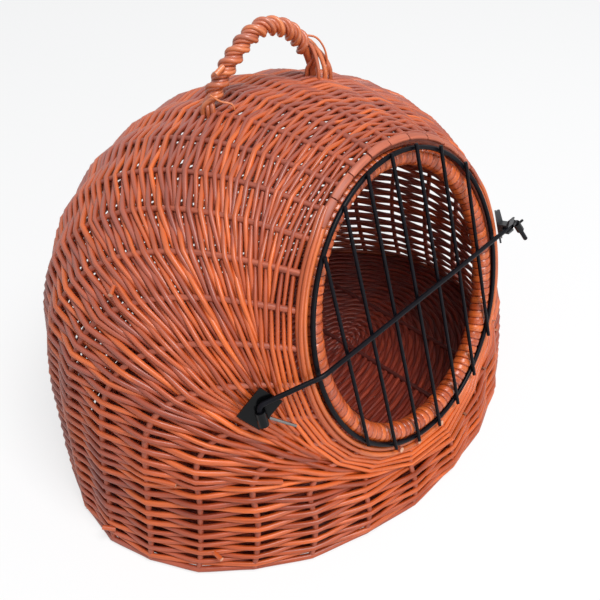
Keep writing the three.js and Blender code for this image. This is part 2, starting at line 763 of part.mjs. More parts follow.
const hingeTop = new THREE.Vector3(hingeAxis.x, ROD_HEIGHT - HINGE_ARM_DROP, hingeAxis.z);
const hingeBottom = hingeTop.clone();
hingeBottom.y -= HINGE_BARREL_LENGTH + ROD_BEND_RADIUS;
const armStart = new THREE.Vector3(-RING_HALF_WIDTH - ROD_RADIUS, ROD_HEIGHT, rodOut);
const bendStart = new THREE.Vector3(ROD_BEND_X, ROD_HEIGHT, rodOut);
const apex = new THREE.Vector3(ROD_APEX_X, ROD_HEIGHT, rodOut - ROD_APEX_DROP_BACK);
const hookTip = apex.clone();
hookTip.x += ROD_HOOK_SPLAY;
hookTip.y -= ROD_HOOK_DROP;
const rodPoints = bentPath([hingeBottom, hingeTop, armStart, bendStart, apex, hookTip], ROD_BEND_RADIUS);
addPiece('cross_rod', tubeThrough(rodPoints, ROD_RADIUS, 8), coatedWire, mouth);

// Sleeves slipped over the rod on both sides of the bend above its hook
const sleeveBore = ROD_RADIUS + GAP;
const towardsLatch = bendStart.clone().sub(apex).normalize();
const alongHook = hookTip.clone().sub(apex).normalize();
const sleeveStart = apex.clone().addScaledVector(towardsLatch, ROD_BEND_RADIUS - 1);
const sleeveEnd = sleeveStart.clone().addScaledVector(towardsLatch, SLEEVE_LENGTH);
const hookSleeveStart = apex.clone().addScaledVector(alongHook, ROD_BEND_RADIUS - 1);
const hookSleeveEnd = hookSleeveStart.clone().addScaledVector(alongHook, HOOK_SLEEVE_LENGTH);

function sleeveGeometry(start, end, bore, wall) {
  const shape = circleShape(bore + wall, 10);
  shape.holes.push(new THREE.Path(circleShape(bore, 10).getPoints().reverse()));
  return new THREE.ExtrudeGeometry(shape, {
    steps: 1,
    extrudePath: new THREE.LineCurve3(start, end),
    bevelEnabled: false,
  });
}
addPiece('rod_sleeve', sleeveGeometry(sleeveStart, sleeveEnd, sleeveBore, SLEEVE_WALL), blackClip, mouth);

// The lower sleeve has a short tab that points outwards from its top
function hookSleeve() {
  const sleeve = toSolid(sleeveGeometry(hookSleeveStart, hookSleeveEnd, sleeveBore, SLEEVE_WALL));
  const root = hookSleeveStart.clone().addScaledVector(alongHook, SLEEVE_WALL * 2);
  root.x += sleeveBore + SLEEVE_WALL / 2;
  const end = root.clone();
  end.x += HOOK_SLEEVE_TAB;
  return sleeve.add(toSolid(straightRod(root, end, SLEEVE_WALL, 8)));
}
addPiece('hook_sleeve', fromSolid(hookSleeve()), blackClip, mouth);

// Hinge clip: a plate on the left flank with a barrel for the rod's turned-down end

function plateMatrix(seat, standOff, turn) {
  const normal = seat.normal.clone();
  const upwards = new THREE.Vector3(0, 1, 0).addScaledVector(normal, -normal.y).normalize();
  const across = upwards.clone().cross(normal);
  const matrix = new THREE.Matrix4().makeBasis(across, upwards, normal);
  matrix.multiply(new THREE.Matrix4().makeRotationZ(turn));
  const place = seat.place.clone().addScaledVector(normal, standOff);
  return matrix.setPosition(place);
}

function hingeClip() {
  const middle = CLIP_STAND_OFF + CLIP_PLATE_THICKNESS / 2;
  const plate = toSolid(
    new THREE.BoxGeometry(CLIP_PLATE_LENGTH, CLIP_PLATE_WIDTH, CLIP_PLATE_THICKNESS),
    plateMatrix(hingeSeat, middle, PLATE_TURN),
  );
  const barrelTop = new THREE.Vector3(hingeAxis.x, hingeTop.y - ROD_BEND_RADIUS, hingeAxis.z);
  const barrelBottom = barrelTop.clone();
  barrelBottom.y -= HINGE_BARREL_LENGTH;
  const barrel = toSolid(straightRod(barrelBottom, barrelTop, barrelRadius, 16));
  const boreTop = barrelTop.clone();
  boreTop.y += HINGE_BARREL_LENGTH;
  const boreBottom = barrelBottom.clone();
  boreBottom.y -= HINGE_BARREL_LENGTH;
  const bore = toSolid(straightRod(boreBottom, boreTop, barrelBore, 16));
  return plate.add(barrel).subtract(bore);
}
addPiece('hinge_clip', fromSolid(hingeClip()), blackClip, mouth);

// The bare steel pin that ties the hinge clip to the weave, lying below the plate
const pinStand = HINGE_PIN_RADIUS + CLIP_STAND_OFF;
const pinStartSeat = seatOnFlank(HINGE_PIN_START_ANGLE, HINGE_PIN_START_SHARE);
const pinEndSeat = seatOnFlank(HINGE_PIN_END_ANGLE, HINGE_PIN_END_SHARE);
const pinStart = pinStartSeat.place.clone().addScaledVector(pinStartSeat.normal, pinStand);
const pinEnd = pinEndSeat.place.clone().addScaledVector(pinEndSeat.normal, pinStand);
pinEnd.sub(pinStart).setLength(HINGE_PIN_LENGTH).add(pinStart);
addPiece('hinge_clip_pin', straightRod(pinStart, pinEnd, HINGE_PIN_RADIUS, 8), bareSteel, mouth);

// Latch clip: a foot plate on the right flank and two springy jaws that open to the front

const latchSeat = seatOnFlank(LATCH_ANCHOR_ANGLE, LATCH_ANCHOR_SHARE);
const jawInner = ROD_RADIUS + GAP;

const rodSlope = ROD_APEX_DROP_BACK / (ROD_APEX_X - ROD_BEND_X);
const rodOutAtLatch = rodOut - rodSlope * (LATCH_START_X + LATCH_JAW_LENGTH - ROD_BEND_X);

// The jaws seen from the side: a stem on the flank, a tall wing behind, and a slot for the rod.
function latchJaws() {
  const outerWall = jawInner + LATCH_JAW_THICKNESS;
  const bottom = latchSeat.place.z - LATCH_STEM_DEPTH;
  const cradle = rodOutAtLatch - ROD_RADIUS - GAP;
  const wing = cradle - LATCH_WING_BACK;
  const jawTip = rodOut + ROD_RADIUS;
  const lip = jawTip + LATCH_LIP_FLARE / 2;
  const outline = new THREE.Shape();
  outline.moveTo(-outerWall, bottom);
  outline.lineTo(outerWall, bottom);
  outline.lineTo(outerWall, wing);
  outline.lineTo(outerWall + LATCH_WING_HEIGHT, wing);
  outline.lineTo(outerWall + LATCH_WING_HEIGHT, wing + LATCH_JAW_THICKNESS);
  outline.lineTo(outerWall, wing + 2 * LATCH_JAW_THICKNESS);
  outline.lineTo(outerWall, jawTip - LATCH_JAW_THICKNESS);
  outline.lineTo(outerWall + LATCH_LIP_FLARE, lip - LATCH_JAW_THICKNESS);
  outline.lineTo(outerWall + LATCH_LIP_FLARE, lip);
  outline.lineTo(jawInner, jawTip);
  outline.lineTo(jawInner, cradle);
  outline.lineTo(-jawInner, cradle);
  outline.lineTo(-jawInner, jawTip);
  outline.lineTo(-outerWall, jawTip);
  outline.closePath();
  const solid = new THREE.ExtrudeGeometry(outline, { depth: LATCH_JAW_LENGTH, bevelEnabled: false });
  const matrix = new THREE.Matrix4().makeBasis(
    new THREE.Vector3(0, 1, 0),
    new THREE.Vector3(0, 0, 1),
    new THREE.Vector3(1, 0, 0),
  );
  matrix.setPosition(LATCH_START_X, ROD_HEIGHT, 0);
  return toSolid(solid, matrix);
}

const latchPlateMiddle = CLIP_STAND_OFF + CLIP_PLATE_THICKNESS / 2;

function latchClip() {
  const plate = toSolid(
    new THREE.BoxGeometry(LATCH_FOOT_WIDTH, LATCH_FOOT_HEIGHT, CLIP_PLATE_THICKNESS),
    plateMatrix(latchSeat, latchPlateMiddle, 0),
  );
  const reach = 2 * LATCH_FOOT_HEIGHT;
  const underside = toSolid(
    new THREE.BoxGeometry(reach, reach, reach),
    plateMatrix(latchSeat, CLIP_STAND_OFF - reach / 2, 0),
  );
  const rivetHole = rivetStretch(-LATCH_STEM_DEPTH, LATCH_STEM_DEPTH, RIVET_RADIUS + GAP);
  return latchJaws().subtract(underside).add(plate).subtract(rivetHole);
}

// A stretch of the rivet, from one height to another over the middle of the foot plate
function rivetStretch(low, high, radius) {
  const matrix = plateMatrix(latchSeat, latchPlateMiddle, 0);
  const start = new THREE.Vector3(0, -RIVET_DROP, low).applyMatrix4(matrix);
  const end = new THREE.Vector3(0, -RIVET_DROP, high).applyMatrix4(matrix);
  return toSolid(straightRod(start, end, radius, 12));
}

function rivet() {
  const halfPlate = CLIP_PLATE_THICKNESS / 2;
  const headBottom = halfPlate + GAP;
  const head = rivetStretch(headBottom, headBottom + RIVET_HEAD_HEIGHT, RIVET_HEAD_RADIUS);
  const shaft = rivetStretch(-halfPlate - GAP, headBottom + RIVET_HEAD_HEIGHT / 2, RIVET_RADIUS);
  return head.add(shaft);
}

addPiece('latch_clip', fromSolid(latchClip()), blackClip, mouth);
addPiece('latch_clip_rivet', fromSolid(rivet()), bareSteel, mouth);

export default carrier;
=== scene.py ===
"""The looks of a wicker pet carrier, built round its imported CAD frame.

Metres, +Z up, the mouth towards -Y. The basket is a wall of willow rods woven round 28 stakes.
The wall's rows follow sections of the basket's skin, and pairs of rows end where the front is short.
"""

import math
import random

import bpy
import numpy as np
from mathutils import Matrix, Vector


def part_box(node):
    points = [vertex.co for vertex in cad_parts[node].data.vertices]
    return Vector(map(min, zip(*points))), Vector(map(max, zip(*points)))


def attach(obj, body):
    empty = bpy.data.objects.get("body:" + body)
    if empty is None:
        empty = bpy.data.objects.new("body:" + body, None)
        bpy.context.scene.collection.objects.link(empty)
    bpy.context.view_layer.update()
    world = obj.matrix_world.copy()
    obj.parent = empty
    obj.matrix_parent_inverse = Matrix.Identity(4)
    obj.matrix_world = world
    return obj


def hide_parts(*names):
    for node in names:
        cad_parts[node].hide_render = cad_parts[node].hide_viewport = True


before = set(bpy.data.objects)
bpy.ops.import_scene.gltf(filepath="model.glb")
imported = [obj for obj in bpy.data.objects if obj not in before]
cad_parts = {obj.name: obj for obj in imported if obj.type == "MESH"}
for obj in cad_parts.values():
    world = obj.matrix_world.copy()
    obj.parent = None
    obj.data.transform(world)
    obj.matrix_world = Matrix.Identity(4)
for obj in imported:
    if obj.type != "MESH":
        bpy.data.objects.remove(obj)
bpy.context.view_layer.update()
rng = random.Random(11)

MM = 0.001
TAU = 2 * math.pi

# The mouth's own frame: across, up its slope, and outwards
LEAN = math.radians(17.5)
MOUTH = np.array([0.0, -124.5, 182.0]) * MM
ACROSS = np.array([1.0, 0.0, 0.0])
UPWARD = np.array([0.0, math.sin(LEAN), math.cos(LEAN)])
OUTWARD = np.array([0.0, -math.cos(LEAN), math.sin(LEAN)])
MOUTH_HALF_HEIGHT = 129 * MM

# The basket's skin
BASE_HALF_WIDTH, WAIST, SHOULDER, MOUTH_HALF_WIDTH = (v * MM for v in (249.5, 219.9, 265.3, 123.5))
BASE_HALF_DEPTH = 183 * MM
MOUTH_BOTTOM = MOUTH - MOUTH_HALF_HEIGHT * UPWARD
MOUTH_TOP = MOUTH + MOUTH_HALF_HEIGHT * UPWARD
FRONT_LINE = [
    np.array([0, -183, 0]) * MM,
    np.array([0, -185.5, 22.7]) * MM,
    MOUTH_BOTTOM + (11.5 * OUTWARD - 12.8 * UPWARD) * MM,
    MOUTH_BOTTOM,
]
BACK_LINE = [
    np.array([0, 183, 0]) * MM,
    np.array([0, 265.4, 220.5]) * MM,
    MOUTH_TOP + np.array([0, 243, 41.4]) * MM,
    MOUTH_TOP,
]
STAKES = 28
FIRST_STAKE = math.radians(3)
STAKE_STEP = TAU / STAKES
STAKE_RADIUS = 2.5 * MM
# How far inside the skin the stakes and the middle of the weave lie
MID_DEPTH = 6.4 * MM
SKEW_LINE = (0, -0.05, 0.07, 0)
# Below this share of the way to the mouth, the wall's inward direction is brought level at the foot
LEVEL_FOOT = 0.08
# The stakes at the sides swing towards the back over this part of the way
STAKE_SWING = math.radians(14)
STAKE_SWING_SPAN = (0.35, 0.95)

# Border and rim round the mouth, as half-axes and place along OUTWARD
RING = (114.3 * MM, 121.5 * MM, 0.0)
BORDER = (120.3 * MM, 127.5 * MM, -5.5 * MM)
RIM = (106.15 * MM, 113.35 * MM, -6.3 * MM)
RIM_TOP_SET_BACK = 6 * MM
RIM_TOP_RISE = 2 * MM


def cubic(a, b, c, d, s):
    """The Bezier curve of four points or numbers, at the share s of its way."""
    r = 1 - s
    return r**3 * a + 3 * r * r * s * b + 3 * r * s * s * c + s**3 * d


def smooth(value, low, high):
    """An eased step from 0 at low to 1 at high."""
    t = np.clip((value - low) / (high - low), 0, 1)
    return t * t * (3 - 2 * t)


def skin(angle, s):
    """Points of the basket's outer surface, for arrays of angles and shares of the way to the mouth."""
    s = np.asarray(s, float)[..., None]
    cos, sin = np.cos(angle)[..., None], np.sin(angle)[..., None]
    front, back = cubic(*FRONT_LINE, s), cubic(*BACK_LINE, s)
    share = 0.5 + 0.5 * sin + cubic(*SKEW_LINE, s) * cos * cos
    place = front + (back - front) * share
    return place + ACROSS * cubic(BASE_HALF_WIDTH, WAIST, SHOULDER, MOUTH_HALF_WIDTH, s) * cos


def unit(v):
    return v / np.maximum(np.linalg.norm(v, axis=-1, keepdims=True), 1e-12)


def inward(angle, s):
    """Unit directions from the skin into the basket."""
    step = 1e-3
    low = np.clip(s, step, 1 - step)
    around = skin(angle + step, low) - skin(angle - step, low)
    along = skin(angle, low + step) - skin(angle, low - step)
    normal = unit(-np.cross(around, along))
    normal[..., 2] *= smooth(s, 0, LEVEL_FOOT)
    return unit(normal)


def stake_angle(base, s):
    return base + STAKE_SWING * np.cos(base) * smooth(s, *STAKE_SWING_SPAN)


def oval(shape, angle):
    """Points of an oval round the mouth, given its half-axes and its place along OUTWARD."""
    half_width, half_height, out = shape
    angle = np.asarray(angle, float)[..., None]
    return MOUTH + half_width * np.cos(angle) * ACROSS + half_height * np.sin(angle) * UPWARD + out * OUTWARD


def oval_radial(shape, angle):
    """The directions straight out of such an oval, in its own plane."""
    half_width, half_height, _ = shape
    angle = np.asarray(angle, float)[..., None]
    return unit(np.cos(angle) / half_width * ACROSS + np.sin(angle) / half_height * UPWARD)


def from_mouth(x, u, n):
    """The place x mm across, u mm up and n mm out from the middle of the mouth."""
    return MOUTH + (x * ACROSS + u * UPWARD + n * OUTWARD) * MM


def curve_through(points, per_span=8):
    """A centripetal Catmull-Rom curve through the points."""
    points = [np.asarray(p, float) for p in points]
    points = [2 * points[0] - points[1]] + points + [2 * points[-1] - points[-2]]
    path = []
    for k in range(1, len(points) - 2):
        group = points[k - 1 : k + 3]
        knots = [0.0]
        for a, b in zip(group, group[1:]):
            knots.append(knots[-1] + math.sqrt(np.linalg.norm(b - a)))
        for step in range(per_span):
            t = knots[1] + (knots[2] - knots[1]) * step / per_span
            level = group
            for width in (1, 2, 3):
                spans = zip(knots, knots[width:]) if width < 3 else [knots[1:3]]
                level = [
                    level[j] + (level[j + 1] - level[j]) * ((t - low) / (high - low))
                    for j, (low, high) in enumerate(spans)
                ]
            path.append(level[0])
    path.append(points[-2])
    return np.array(path)


def between(x, xs, points):
    """The point at x among points that are given at xs."""
    return np.array([np.interp(x, xs, points[:, k]) for k in range(3)])


def run_of(path):
    """The length along a path at each of its points."""
    steps = np.linalg.norm(np.diff(path, axis=0), axis=1)
    return np.concatenate([[0], np.cumsum(steps)])


def rounded(corners, reach, steps=5):
    """A path through the corners, each one rounded off over the given reach."""
    path = [corners[0]]
    for before, corner, after in zip(corners, corners[1:], corners[2:]):
        enter = corner + unit(before - corner) * reach
        leave = corner + unit(after - corner) * reach
        for step in range(steps + 1):
            u = step / steps
            path.append(enter * (1 - u) ** 2 + corner * 2 * u * (1 - u) + leave * u * u)
    path.append(corners[-1])
    return np.array(path)


# A rod's grain starts anywhere within this many metres, so that no two rods look alike
GRAIN_START = 50
NEARLY_UPRIGHT = 0.9
SHARP_EDGE = math.radians(50)


def grid_faces(first, count, spans, sides):
    """Quads over this many spans between rings of points, the last ring of the count leading to the first."""
    row, column = np.arange(spans)[:, None], np.arange(sides)[None, :]
    here, there = first + row * sides, first + (row + 1) % count * sides
    after = (column + 1) % sides
    return np.stack([here + column, there + column, there + after, here + after], -1).reshape(-1, 4)


class Rods:
    """Tubes gathered into one mesh, with coordinates for the grain and a tone for each rod."""

    def __init__(self, name):
        self.name = name
        self.places, self.grain, self.tones = [], [], []
        self.faces, self.slots = [], []
        self.total = 0

    def add(
        self, path, radius, sides=8, closed=False, tone=0.5, outline=None, up=None, end_slots=(0, 0), slot=0
    ):
        """A tube through the path. The outline is a list of (side, up) pairs in units of the radius."""
        path = np.asarray(path, float)
        count = len(path)
        radius = np.broadcast_to(np.asarray(radius, float), (count,))
        tone = np.broadcast_to(np.asarray(tone, float), (count,))
        if outline is None:
            turns = np.arange(sides) * TAU / sides
            outline = np.stack([np.cos(turns), np.sin(turns)], 1)
        outline = np.asarray(outline, float)
        sides = len(outline)
        if closed:
            tangent = unit(np.roll(path, -1, 0) - np.roll(path, 1, 0))
        else:
            tangent = np.empty_like(path)
            tangent[1:-1] = path[2:] - path[:-2]
            tangent[0] = path[1] - path[0]
            tangent[-1] = path[-1] - path[-2]
            tangent = unit(tangent)
        if up is None:
            ups = self._transport(tangent, closed)
        else:
            ups = np.broadcast_to(np.asarray(up, float), path.shape)
            ups = unit(ups - tangent * (ups * tangent).sum(1, keepdims=True))
        across = np.cross(tangent, ups)
        ring = (
            path[:, None, :]
            + across[:, None, :] * (outline[None, :, 0:1] * radius[:, None, None])
            + ups[:, None, :] * (outline[None, :, 1:2] * radius[:, None, None])
        )
        start = rng.uniform(0, GRAIN_START)
        grain = np.empty((count, sides, 3))
        grain[..., 0] = (run_of(path) + start)[:, None]
        grain[..., 1:] = outline[None] * radius[:, None, None]
        first = self.total
        self.places.append(ring.reshape(-1, 3))
        self.grain.append(grain.reshape(-1, 3))
        self.tones.append(np.repeat(tone, sides))
        self.total += count * sides
        spans = count if closed else count - 1
        self.faces.extend(grid_faces(first, count, spans, sides).tolist())
        self.slots.extend([slot] * (spans * sides))
        if not closed:
            self._cap(first, sides, path[0], grain[0], tone[0], True, end_slots[0])
            self._cap(first + (count - 1) * sides, sides, path[-1], grain[-1], tone[-1], False, end_slots[1])

    def _cap(self, first, sides, centre, grain, tone, starts, slot):
        """A fan of triangles that closes one end."""
        self.places.append(centre[None])
        self.grain.append(grain.mean(0)[None])
        self.tones.append(np.array([tone]))
        tip = self.total
        self.total += 1
        for k in range(sides):
            a, b = first + k, first + (k + 1) % sides
            self.faces.append([a, b, tip] if starts else [b, a, tip])
            self.slots.append(slot)

    @staticmethod
    def _transport(tangent, closed):
        """Upward directions along a path that turn as little as they can."""
        count = len(tangent)
        ups = np.empty_like(tangent)
        seed = np.array([0.0, 0, 1]) if abs(tangent[0][2]) < NEARLY_UPRIGHT else np.array([1.0, 0, 0])
        up = seed - tangent[0] * seed.dot(tangent[0])
        ups[0] = up / np.linalg.norm(up)
        for k in range(1, count):
            up = ups[k - 1] - tangent[k] * ups[k - 1].dot(tangent[k])
            ups[k] = up / np.linalg.norm(up)
        if closed:
            last = ups[-1] - tangent[0] * ups[-1].dot(tangent[0])
            last /= np.linalg.norm(last)
            side = np.cross(tangent[0], ups[0])
            twist = math.atan2(last.dot(side), last.dot(ups[0]))
            share = -twist * np.arange(count)[:, None] / count
            across = np.cross(tangent, ups)
            ups = ups * np.cos(share) + across * np.sin(share)
        return ups

    def build(self, materials, body, replaces):
        mesh = bpy.data.meshes.new(self.name)
        mesh.from_pydata(np.concatenate(self.places).tolist(), [], self.faces)
        grain = mesh.attributes.new("grain", "FLOAT_VECTOR", "POINT")
        grain.data.foreach_set("vector", np.concatenate(self.grain).astype(np.float32).ravel())
        tone = mesh.attributes.new("tone", "FLOAT", "POINT")
        tone.data.foreach_set("value", np.concatenate(self.tones).astype(np.float32))
        for material in materials:
            mesh.materials.append(material)
        mesh.polygons.foreach_set("material_index", self.slots)
        mesh.polygons.foreach_set("use_smooth", [True] * len(mesh.polygons))
        mesh.update()
        piece = bpy.data.objects.new(self.name, mesh)
        bpy.context.scene.collection.objects.link(piece)
        split = piece.modifiers.new("edges", "EDGE_SPLIT")
        split.split_angle = SHARP_EDGE
        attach(piece, body)
        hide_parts(*replaces)


# Materials


def new_material(name):
    material = bpy.data.materials.new(name)
    material.use_nodes = True
    tree = material.node_tree
    tree.nodes.clear()
    shader = new_node(tree, "BsdfPrincipled")
    new_node(tree, "OutputMaterial", {0: shader.outputs[0]})
    return material, tree, shader


def set_inputs(node, values):
    """Gives inputs, by name or number, a fixed value or a link."""
    for name, value in values.items():
        if isinstance(value, bpy.types.NodeSocket):
            node.id_data.links.new(value, node.inputs[name])
        else:
            node.inputs[name].default_value = value


def new_node(tree, kind, values=None, **settings):
    node = tree.nodes.new("ShaderNode" + kind)
    for name, value in settings.items():
        setattr(node, name, value)
    set_inputs(node, values or {})
    return node


def noise(tree, vector, scale, detail=3.0, roughness=0.5):
    values = {"Vector": vector, "Scale": scale, "Detail": detail, "Roughness": roughness}
    return new_node(tree, "TexNoise", values).outputs["Fac"]


def ramp(tree, factor, stops):
    node = new_node(tree, "ValToRGB", {0: factor})
    elements = node.color_ramp.elements
    while len(elements) < len(stops):
        elements.new(0.5)
    for element, (place, colour) in zip(elements, stops):
        element.position = place
        element.color = (*colour, 1)
    return node.outputs["Color"]


def greys(*stops):
    """The stops of a ramp without colour."""
    return [(place, (level,) * 3) for place, level in stops]


def mix(tree, blend, factor, a, b):
    return new_node(tree, "Mix", {0: factor, 6: a, 7: b}, data_type="RGBA", blend_type=blend).outputs[2]


def scaled(tree, vector, scale):
    return new_node(tree, "Mapping", {"Vector": vector, "Scale": scale}).outputs[0]


def measured(tree, operation, vector, other):
    """A number from a vector and a fixed one, such as their distance."""
    return new_node(tree, "VectorMath", {0: vector, 1: other}, operation=operation).outputs["Value"]


def mapped(tree, factor, limits):
    return new_node(tree, "MapRange", {"Value": factor, **limits}).outputs[0]


def uneven(tree, factor, value, more):
    """A roughness that a noise takes a little below and above its own value."""
    return mapped(tree, factor, {"To Min": value - SMOOTHER, "To Max": value + more})


def bumps(tree, height, strength, distance):
    return new_node(tree, "Bump", {"Height": height, "Strength": strength, "Distance": distance}).outputs[0]


SMOOTHER = 0.08
WILLOW_ROUGHER, WILLOW_COAT_ROUGHNESS = 0.14, 0.22
WILLOW_BUMPS = (0.35, 0.25 * MM)
PLAIN_ROUGHER, PLAIN_COAT_ROUGHNESS = 0.12, 0.15
PLAIN_BUMPS = (0.3, 0.05 * MM)
FINE_SCALE, BROAD_SCALE = 900.0, 75.0

# Noise along and across a rod, per metre, and what it does to the rod's tone
STREAK_SCALE = (14, 420, 420)
STREAK_TINT = [(0.3, (0.6, 0.52, 0.5)), (0.52, (1.0, 0.98, 0.96)), (0.68, (1.2, 1.24, 1.2))]
STREAK_SHARE = 0.9
BLOTCH_SCALE = (30, 60, 60)
BLOTCH_TINT = [(0.3, (0.75, 0.7, 0.72)), (0.7, (1.12, 1.1, 1.05))]
BLOTCH_SHARE = 0.85
PATCH_SCALE = 9.0
THIN_PATCH_SHARE = 0.6

# The weave's mauve is thinnest within the first of the distances below from this point, low beside the mouth,
# and whole beyond the second
LEAST_MAUVE_PLACE = (-60 * MM, -190 * MM, 90 * MM)
MAUVE_GROWS_FROM, MAUVE_WHOLE_FROM = 0.15, 0.4
# The mauve is partly a painted sheen: strong on the side of a rod that faces this direction, towards the
# light, and thin on the side that faces away
PAINTED_SHEEN_SIDE = (-0.6, 0.0, 0.8)
PAINTED_SHEEN_BY_SIDE = greys((0.0, 0.12), (0.45, 0.5), (0.95, 1.0))
# The darker a rod, the more of the mauve bloom and painted sheen it keeps
BLOOM_AND_SHEEN_BY_TONE = greys((0.0, 0.9), (0.45, 0.85), (0.7, 0.5), (1.0, 0.3))


def willow_material(
    name, tones, mauve, roughness=0.42, mauve_share=0.5, coat=0.0, tone_places=(0.0, 0.5, 1.0)
):
    """Boiled willow: a tone for each rod, fine streaks and blotches along it, and a mauve veil that is partly
    the bark's bloom and partly a painted sheen.

    The mauve lies in patches, grows away from a point low beside the mouth, and as a painted sheen is thinner
    on the sides of rods that face away from the light above and to the left; it is also thinner on bright
    rods.
    """
    material, tree, shader = new_material(name)
    grain = new_node(tree, "Attribute", attribute_name="grain").outputs["Vector"]
    tone = new_node(tree, "Attribute", attribute_name="tone").outputs["Fac"]
    place = new_node(tree, "TexCoord").outputs["Object"]
    normal = new_node(tree, "NewGeometry").outputs["Normal"]
    streaks = noise(tree, scaled(tree, grain, STREAK_SCALE), 1.0, 4, 0.6)
    blotches = noise(tree, scaled(tree, grain, BLOTCH_SCALE), 1.0, 3, 0.55)
    patches = noise(tree, place, PATCH_SCALE)
    plain = ramp(tree, tone, list(zip(tone_places, tones)))
    streaked = mix(tree, "MULTIPLY", STREAK_SHARE, plain, ramp(tree, streaks, STREAK_TINT))
    blotched = mix(tree, "MULTIPLY", BLOTCH_SHARE, streaked, ramp(tree, blotches, BLOTCH_TINT))
    away = measured(tree, "DISTANCE", place, LEAST_MAUVE_PLACE)
    # How far each side of a rod faces the light, for the painted sheen
    facing = measured(tree, "DOT_PRODUCT", normal, PAINTED_SHEEN_SIDE)
    bloom_and_sheen = ramp(tree, patches, greys((0.3, mauve_share * THIN_PATCH_SHARE), (0.62, mauve_share)))
    for factor in (
        mapped(tree, away, {"From Min": MAUVE_GROWS_FROM, "From Max": MAUVE_WHOLE_FROM}),
        ramp(tree, facing, PAINTED_SHEEN_BY_SIDE),
        ramp(tree, tone, BLOOM_AND_SHEEN_BY_TONE),
    ):
        bloom_and_sheen = mix(tree, "MULTIPLY", 1.0, bloom_and_sheen, factor)
    set_inputs(shader, {
        "Base Color": mix(tree, "MIX", bloom_and_sheen, blotched, (*mauve, 1)),
        "Roughness": uneven(tree, streaks, roughness, WILLOW_ROUGHER),
        "Coat Weight": coat,
        "Coat Roughness": WILLOW_COAT_ROUGHNESS,
        "Normal": bumps(tree, streaks, *WILLOW_BUMPS),
    })
    return material


def plain_material(name, colour, roughness, metallic=0.0, coat=0.0, speckle=0.3, specular=0.5):
    """A moulded, coated or bare metal surface, with slight unevenness in colour, gloss and height."""
    material, tree, shader = new_material(name)
    place = new_node(tree, "TexCoord").outputs["Object"]
    fine = noise(tree, place, FINE_SCALE, 4, 0.6)
    broad = noise(tree, place, BROAD_SCALE)
    darker = tuple(v * (1 - speckle) for v in colour)
    lighter = tuple(v * (1 + speckle) for v in colour)
    set_inputs(shader, {
        "Base Color": ramp(tree, broad, [(0.3, darker), (0.7, lighter)]),
        "Roughness": uneven(tree, broad, roughness, PLAIN_ROUGHER),
        "Metallic": metallic,
        "Specular IOR Level": specular,
        "Coat Weight": coat,
        "Coat Roughness": PLAIN_COAT_ROUGHNESS,
        "Normal": bumps(tree, fine, *PLAIN_BUMPS),
    })
    return material


WEAVE = willow_material(
    "woven_willow",
    ((0.25, 0.03, 0.005), (0.47, 0.076, 0.01), (0.76, 0.155, 0.025)),
    (0.39, 0.157, 0.135),
    roughness=0.38,
    mauve_share=1.0,
    coat=0.12,
)
FLOOR = willow_material(
    "floor_willow",
    ((0.075, 0.007, 0.004), (0.2, 0.023, 0.01), (0.36, 0.052, 0.021)),
    (0.24, 0.05, 0.042),
)
STAKE = willow_material(
    "stake_willow",
    ((0.25, 0.045, 0.018), (0.37, 0.08, 0.036), (0.48, 0.115, 0.055)),
    (0.38, 0.14, 0.115),
    roughness=0.5,
    mauve_share=0.6,
)
BRIGHT = willow_material(
    "bright_willow",
    ((0.32, 0.048, 0.009), (0.5, 0.094, 0.017), (0.74, 0.19, 0.04)),
    (0.46, 0.155, 0.115),
    roughness=0.36,
    mauve_share=0.8,
    coat=0.12,
)
# The lowest tone of the binding is a painted shade in the seams between its turns
BINDING = willow_material(
    "rim_binding_willow",
    ((0.03, 0.006, 0.003), (0.3, 0.04, 0.008), (0.5, 0.083, 0.014), (0.7, 0.155, 0.028)),
    (0.40, 0.10, 0.055),
    tone_places=(0.0, 0.2, 0.55, 1.0),
    roughness=0.3,
    mauve_share=0.3,
    coat=0.2,
)
FLAT = willow_material(
    "border_willow",
    ((0.26, 0.06, 0.03), (0.44, 0.11, 0.055), (0.6, 0.17, 0.085)),
    (0.42, 0.13, 0.10),
    roughness=0.5,
)
ROPE = willow_material(
    "handle_willow",
    ((0.44, 0.09, 0.024), (0.62, 0.16, 0.045), (0.8, 0.26, 0.09)),
    (0.47, 0.17, 0.135),
    roughness=0.32,
    mauve_share=0.75,
    coat=0.2,
)
CUT_END = willow_material(
    "cut_willow_end",
    ((0.5, 0.24, 0.14), (0.6, 0.3, 0.19), (0.68, 0.37, 0.24)),
    (0.5, 0.28, 0.18),
    roughness=0.6,
    mauve_share=0.3,
)
WIRE = plain_material("coated_wire_finish", (0.003, 0.0028, 0.005), 0.36, coat=0.02, specular=0.1)
CLIP = plain_material("black_plastic_finish", (0.0025, 0.0025, 0.003), 0.2, coat=0.05, specular=0.14)
LATCH = plain_material("grey_plastic_finish", (0.03, 0.031, 0.034), 0.4, coat=0.1, specular=0.35)
STEEL = plain_material("bare_steel_finish", (0.2, 0.19, 0.185), 0.4, metallic=1.0, speckle=0.15)


# Wall: stakes and rows

SHARES = np.linspace(0, 1, 601)
BORDER_POINTS = oval(BORDER, np.linspace(0, TAU, 240))
# A stake ends where its upper part comes this close to the middle of the border
UPPER_PART = 0.7
BORDER_CLEARANCE = 6.2 * MM


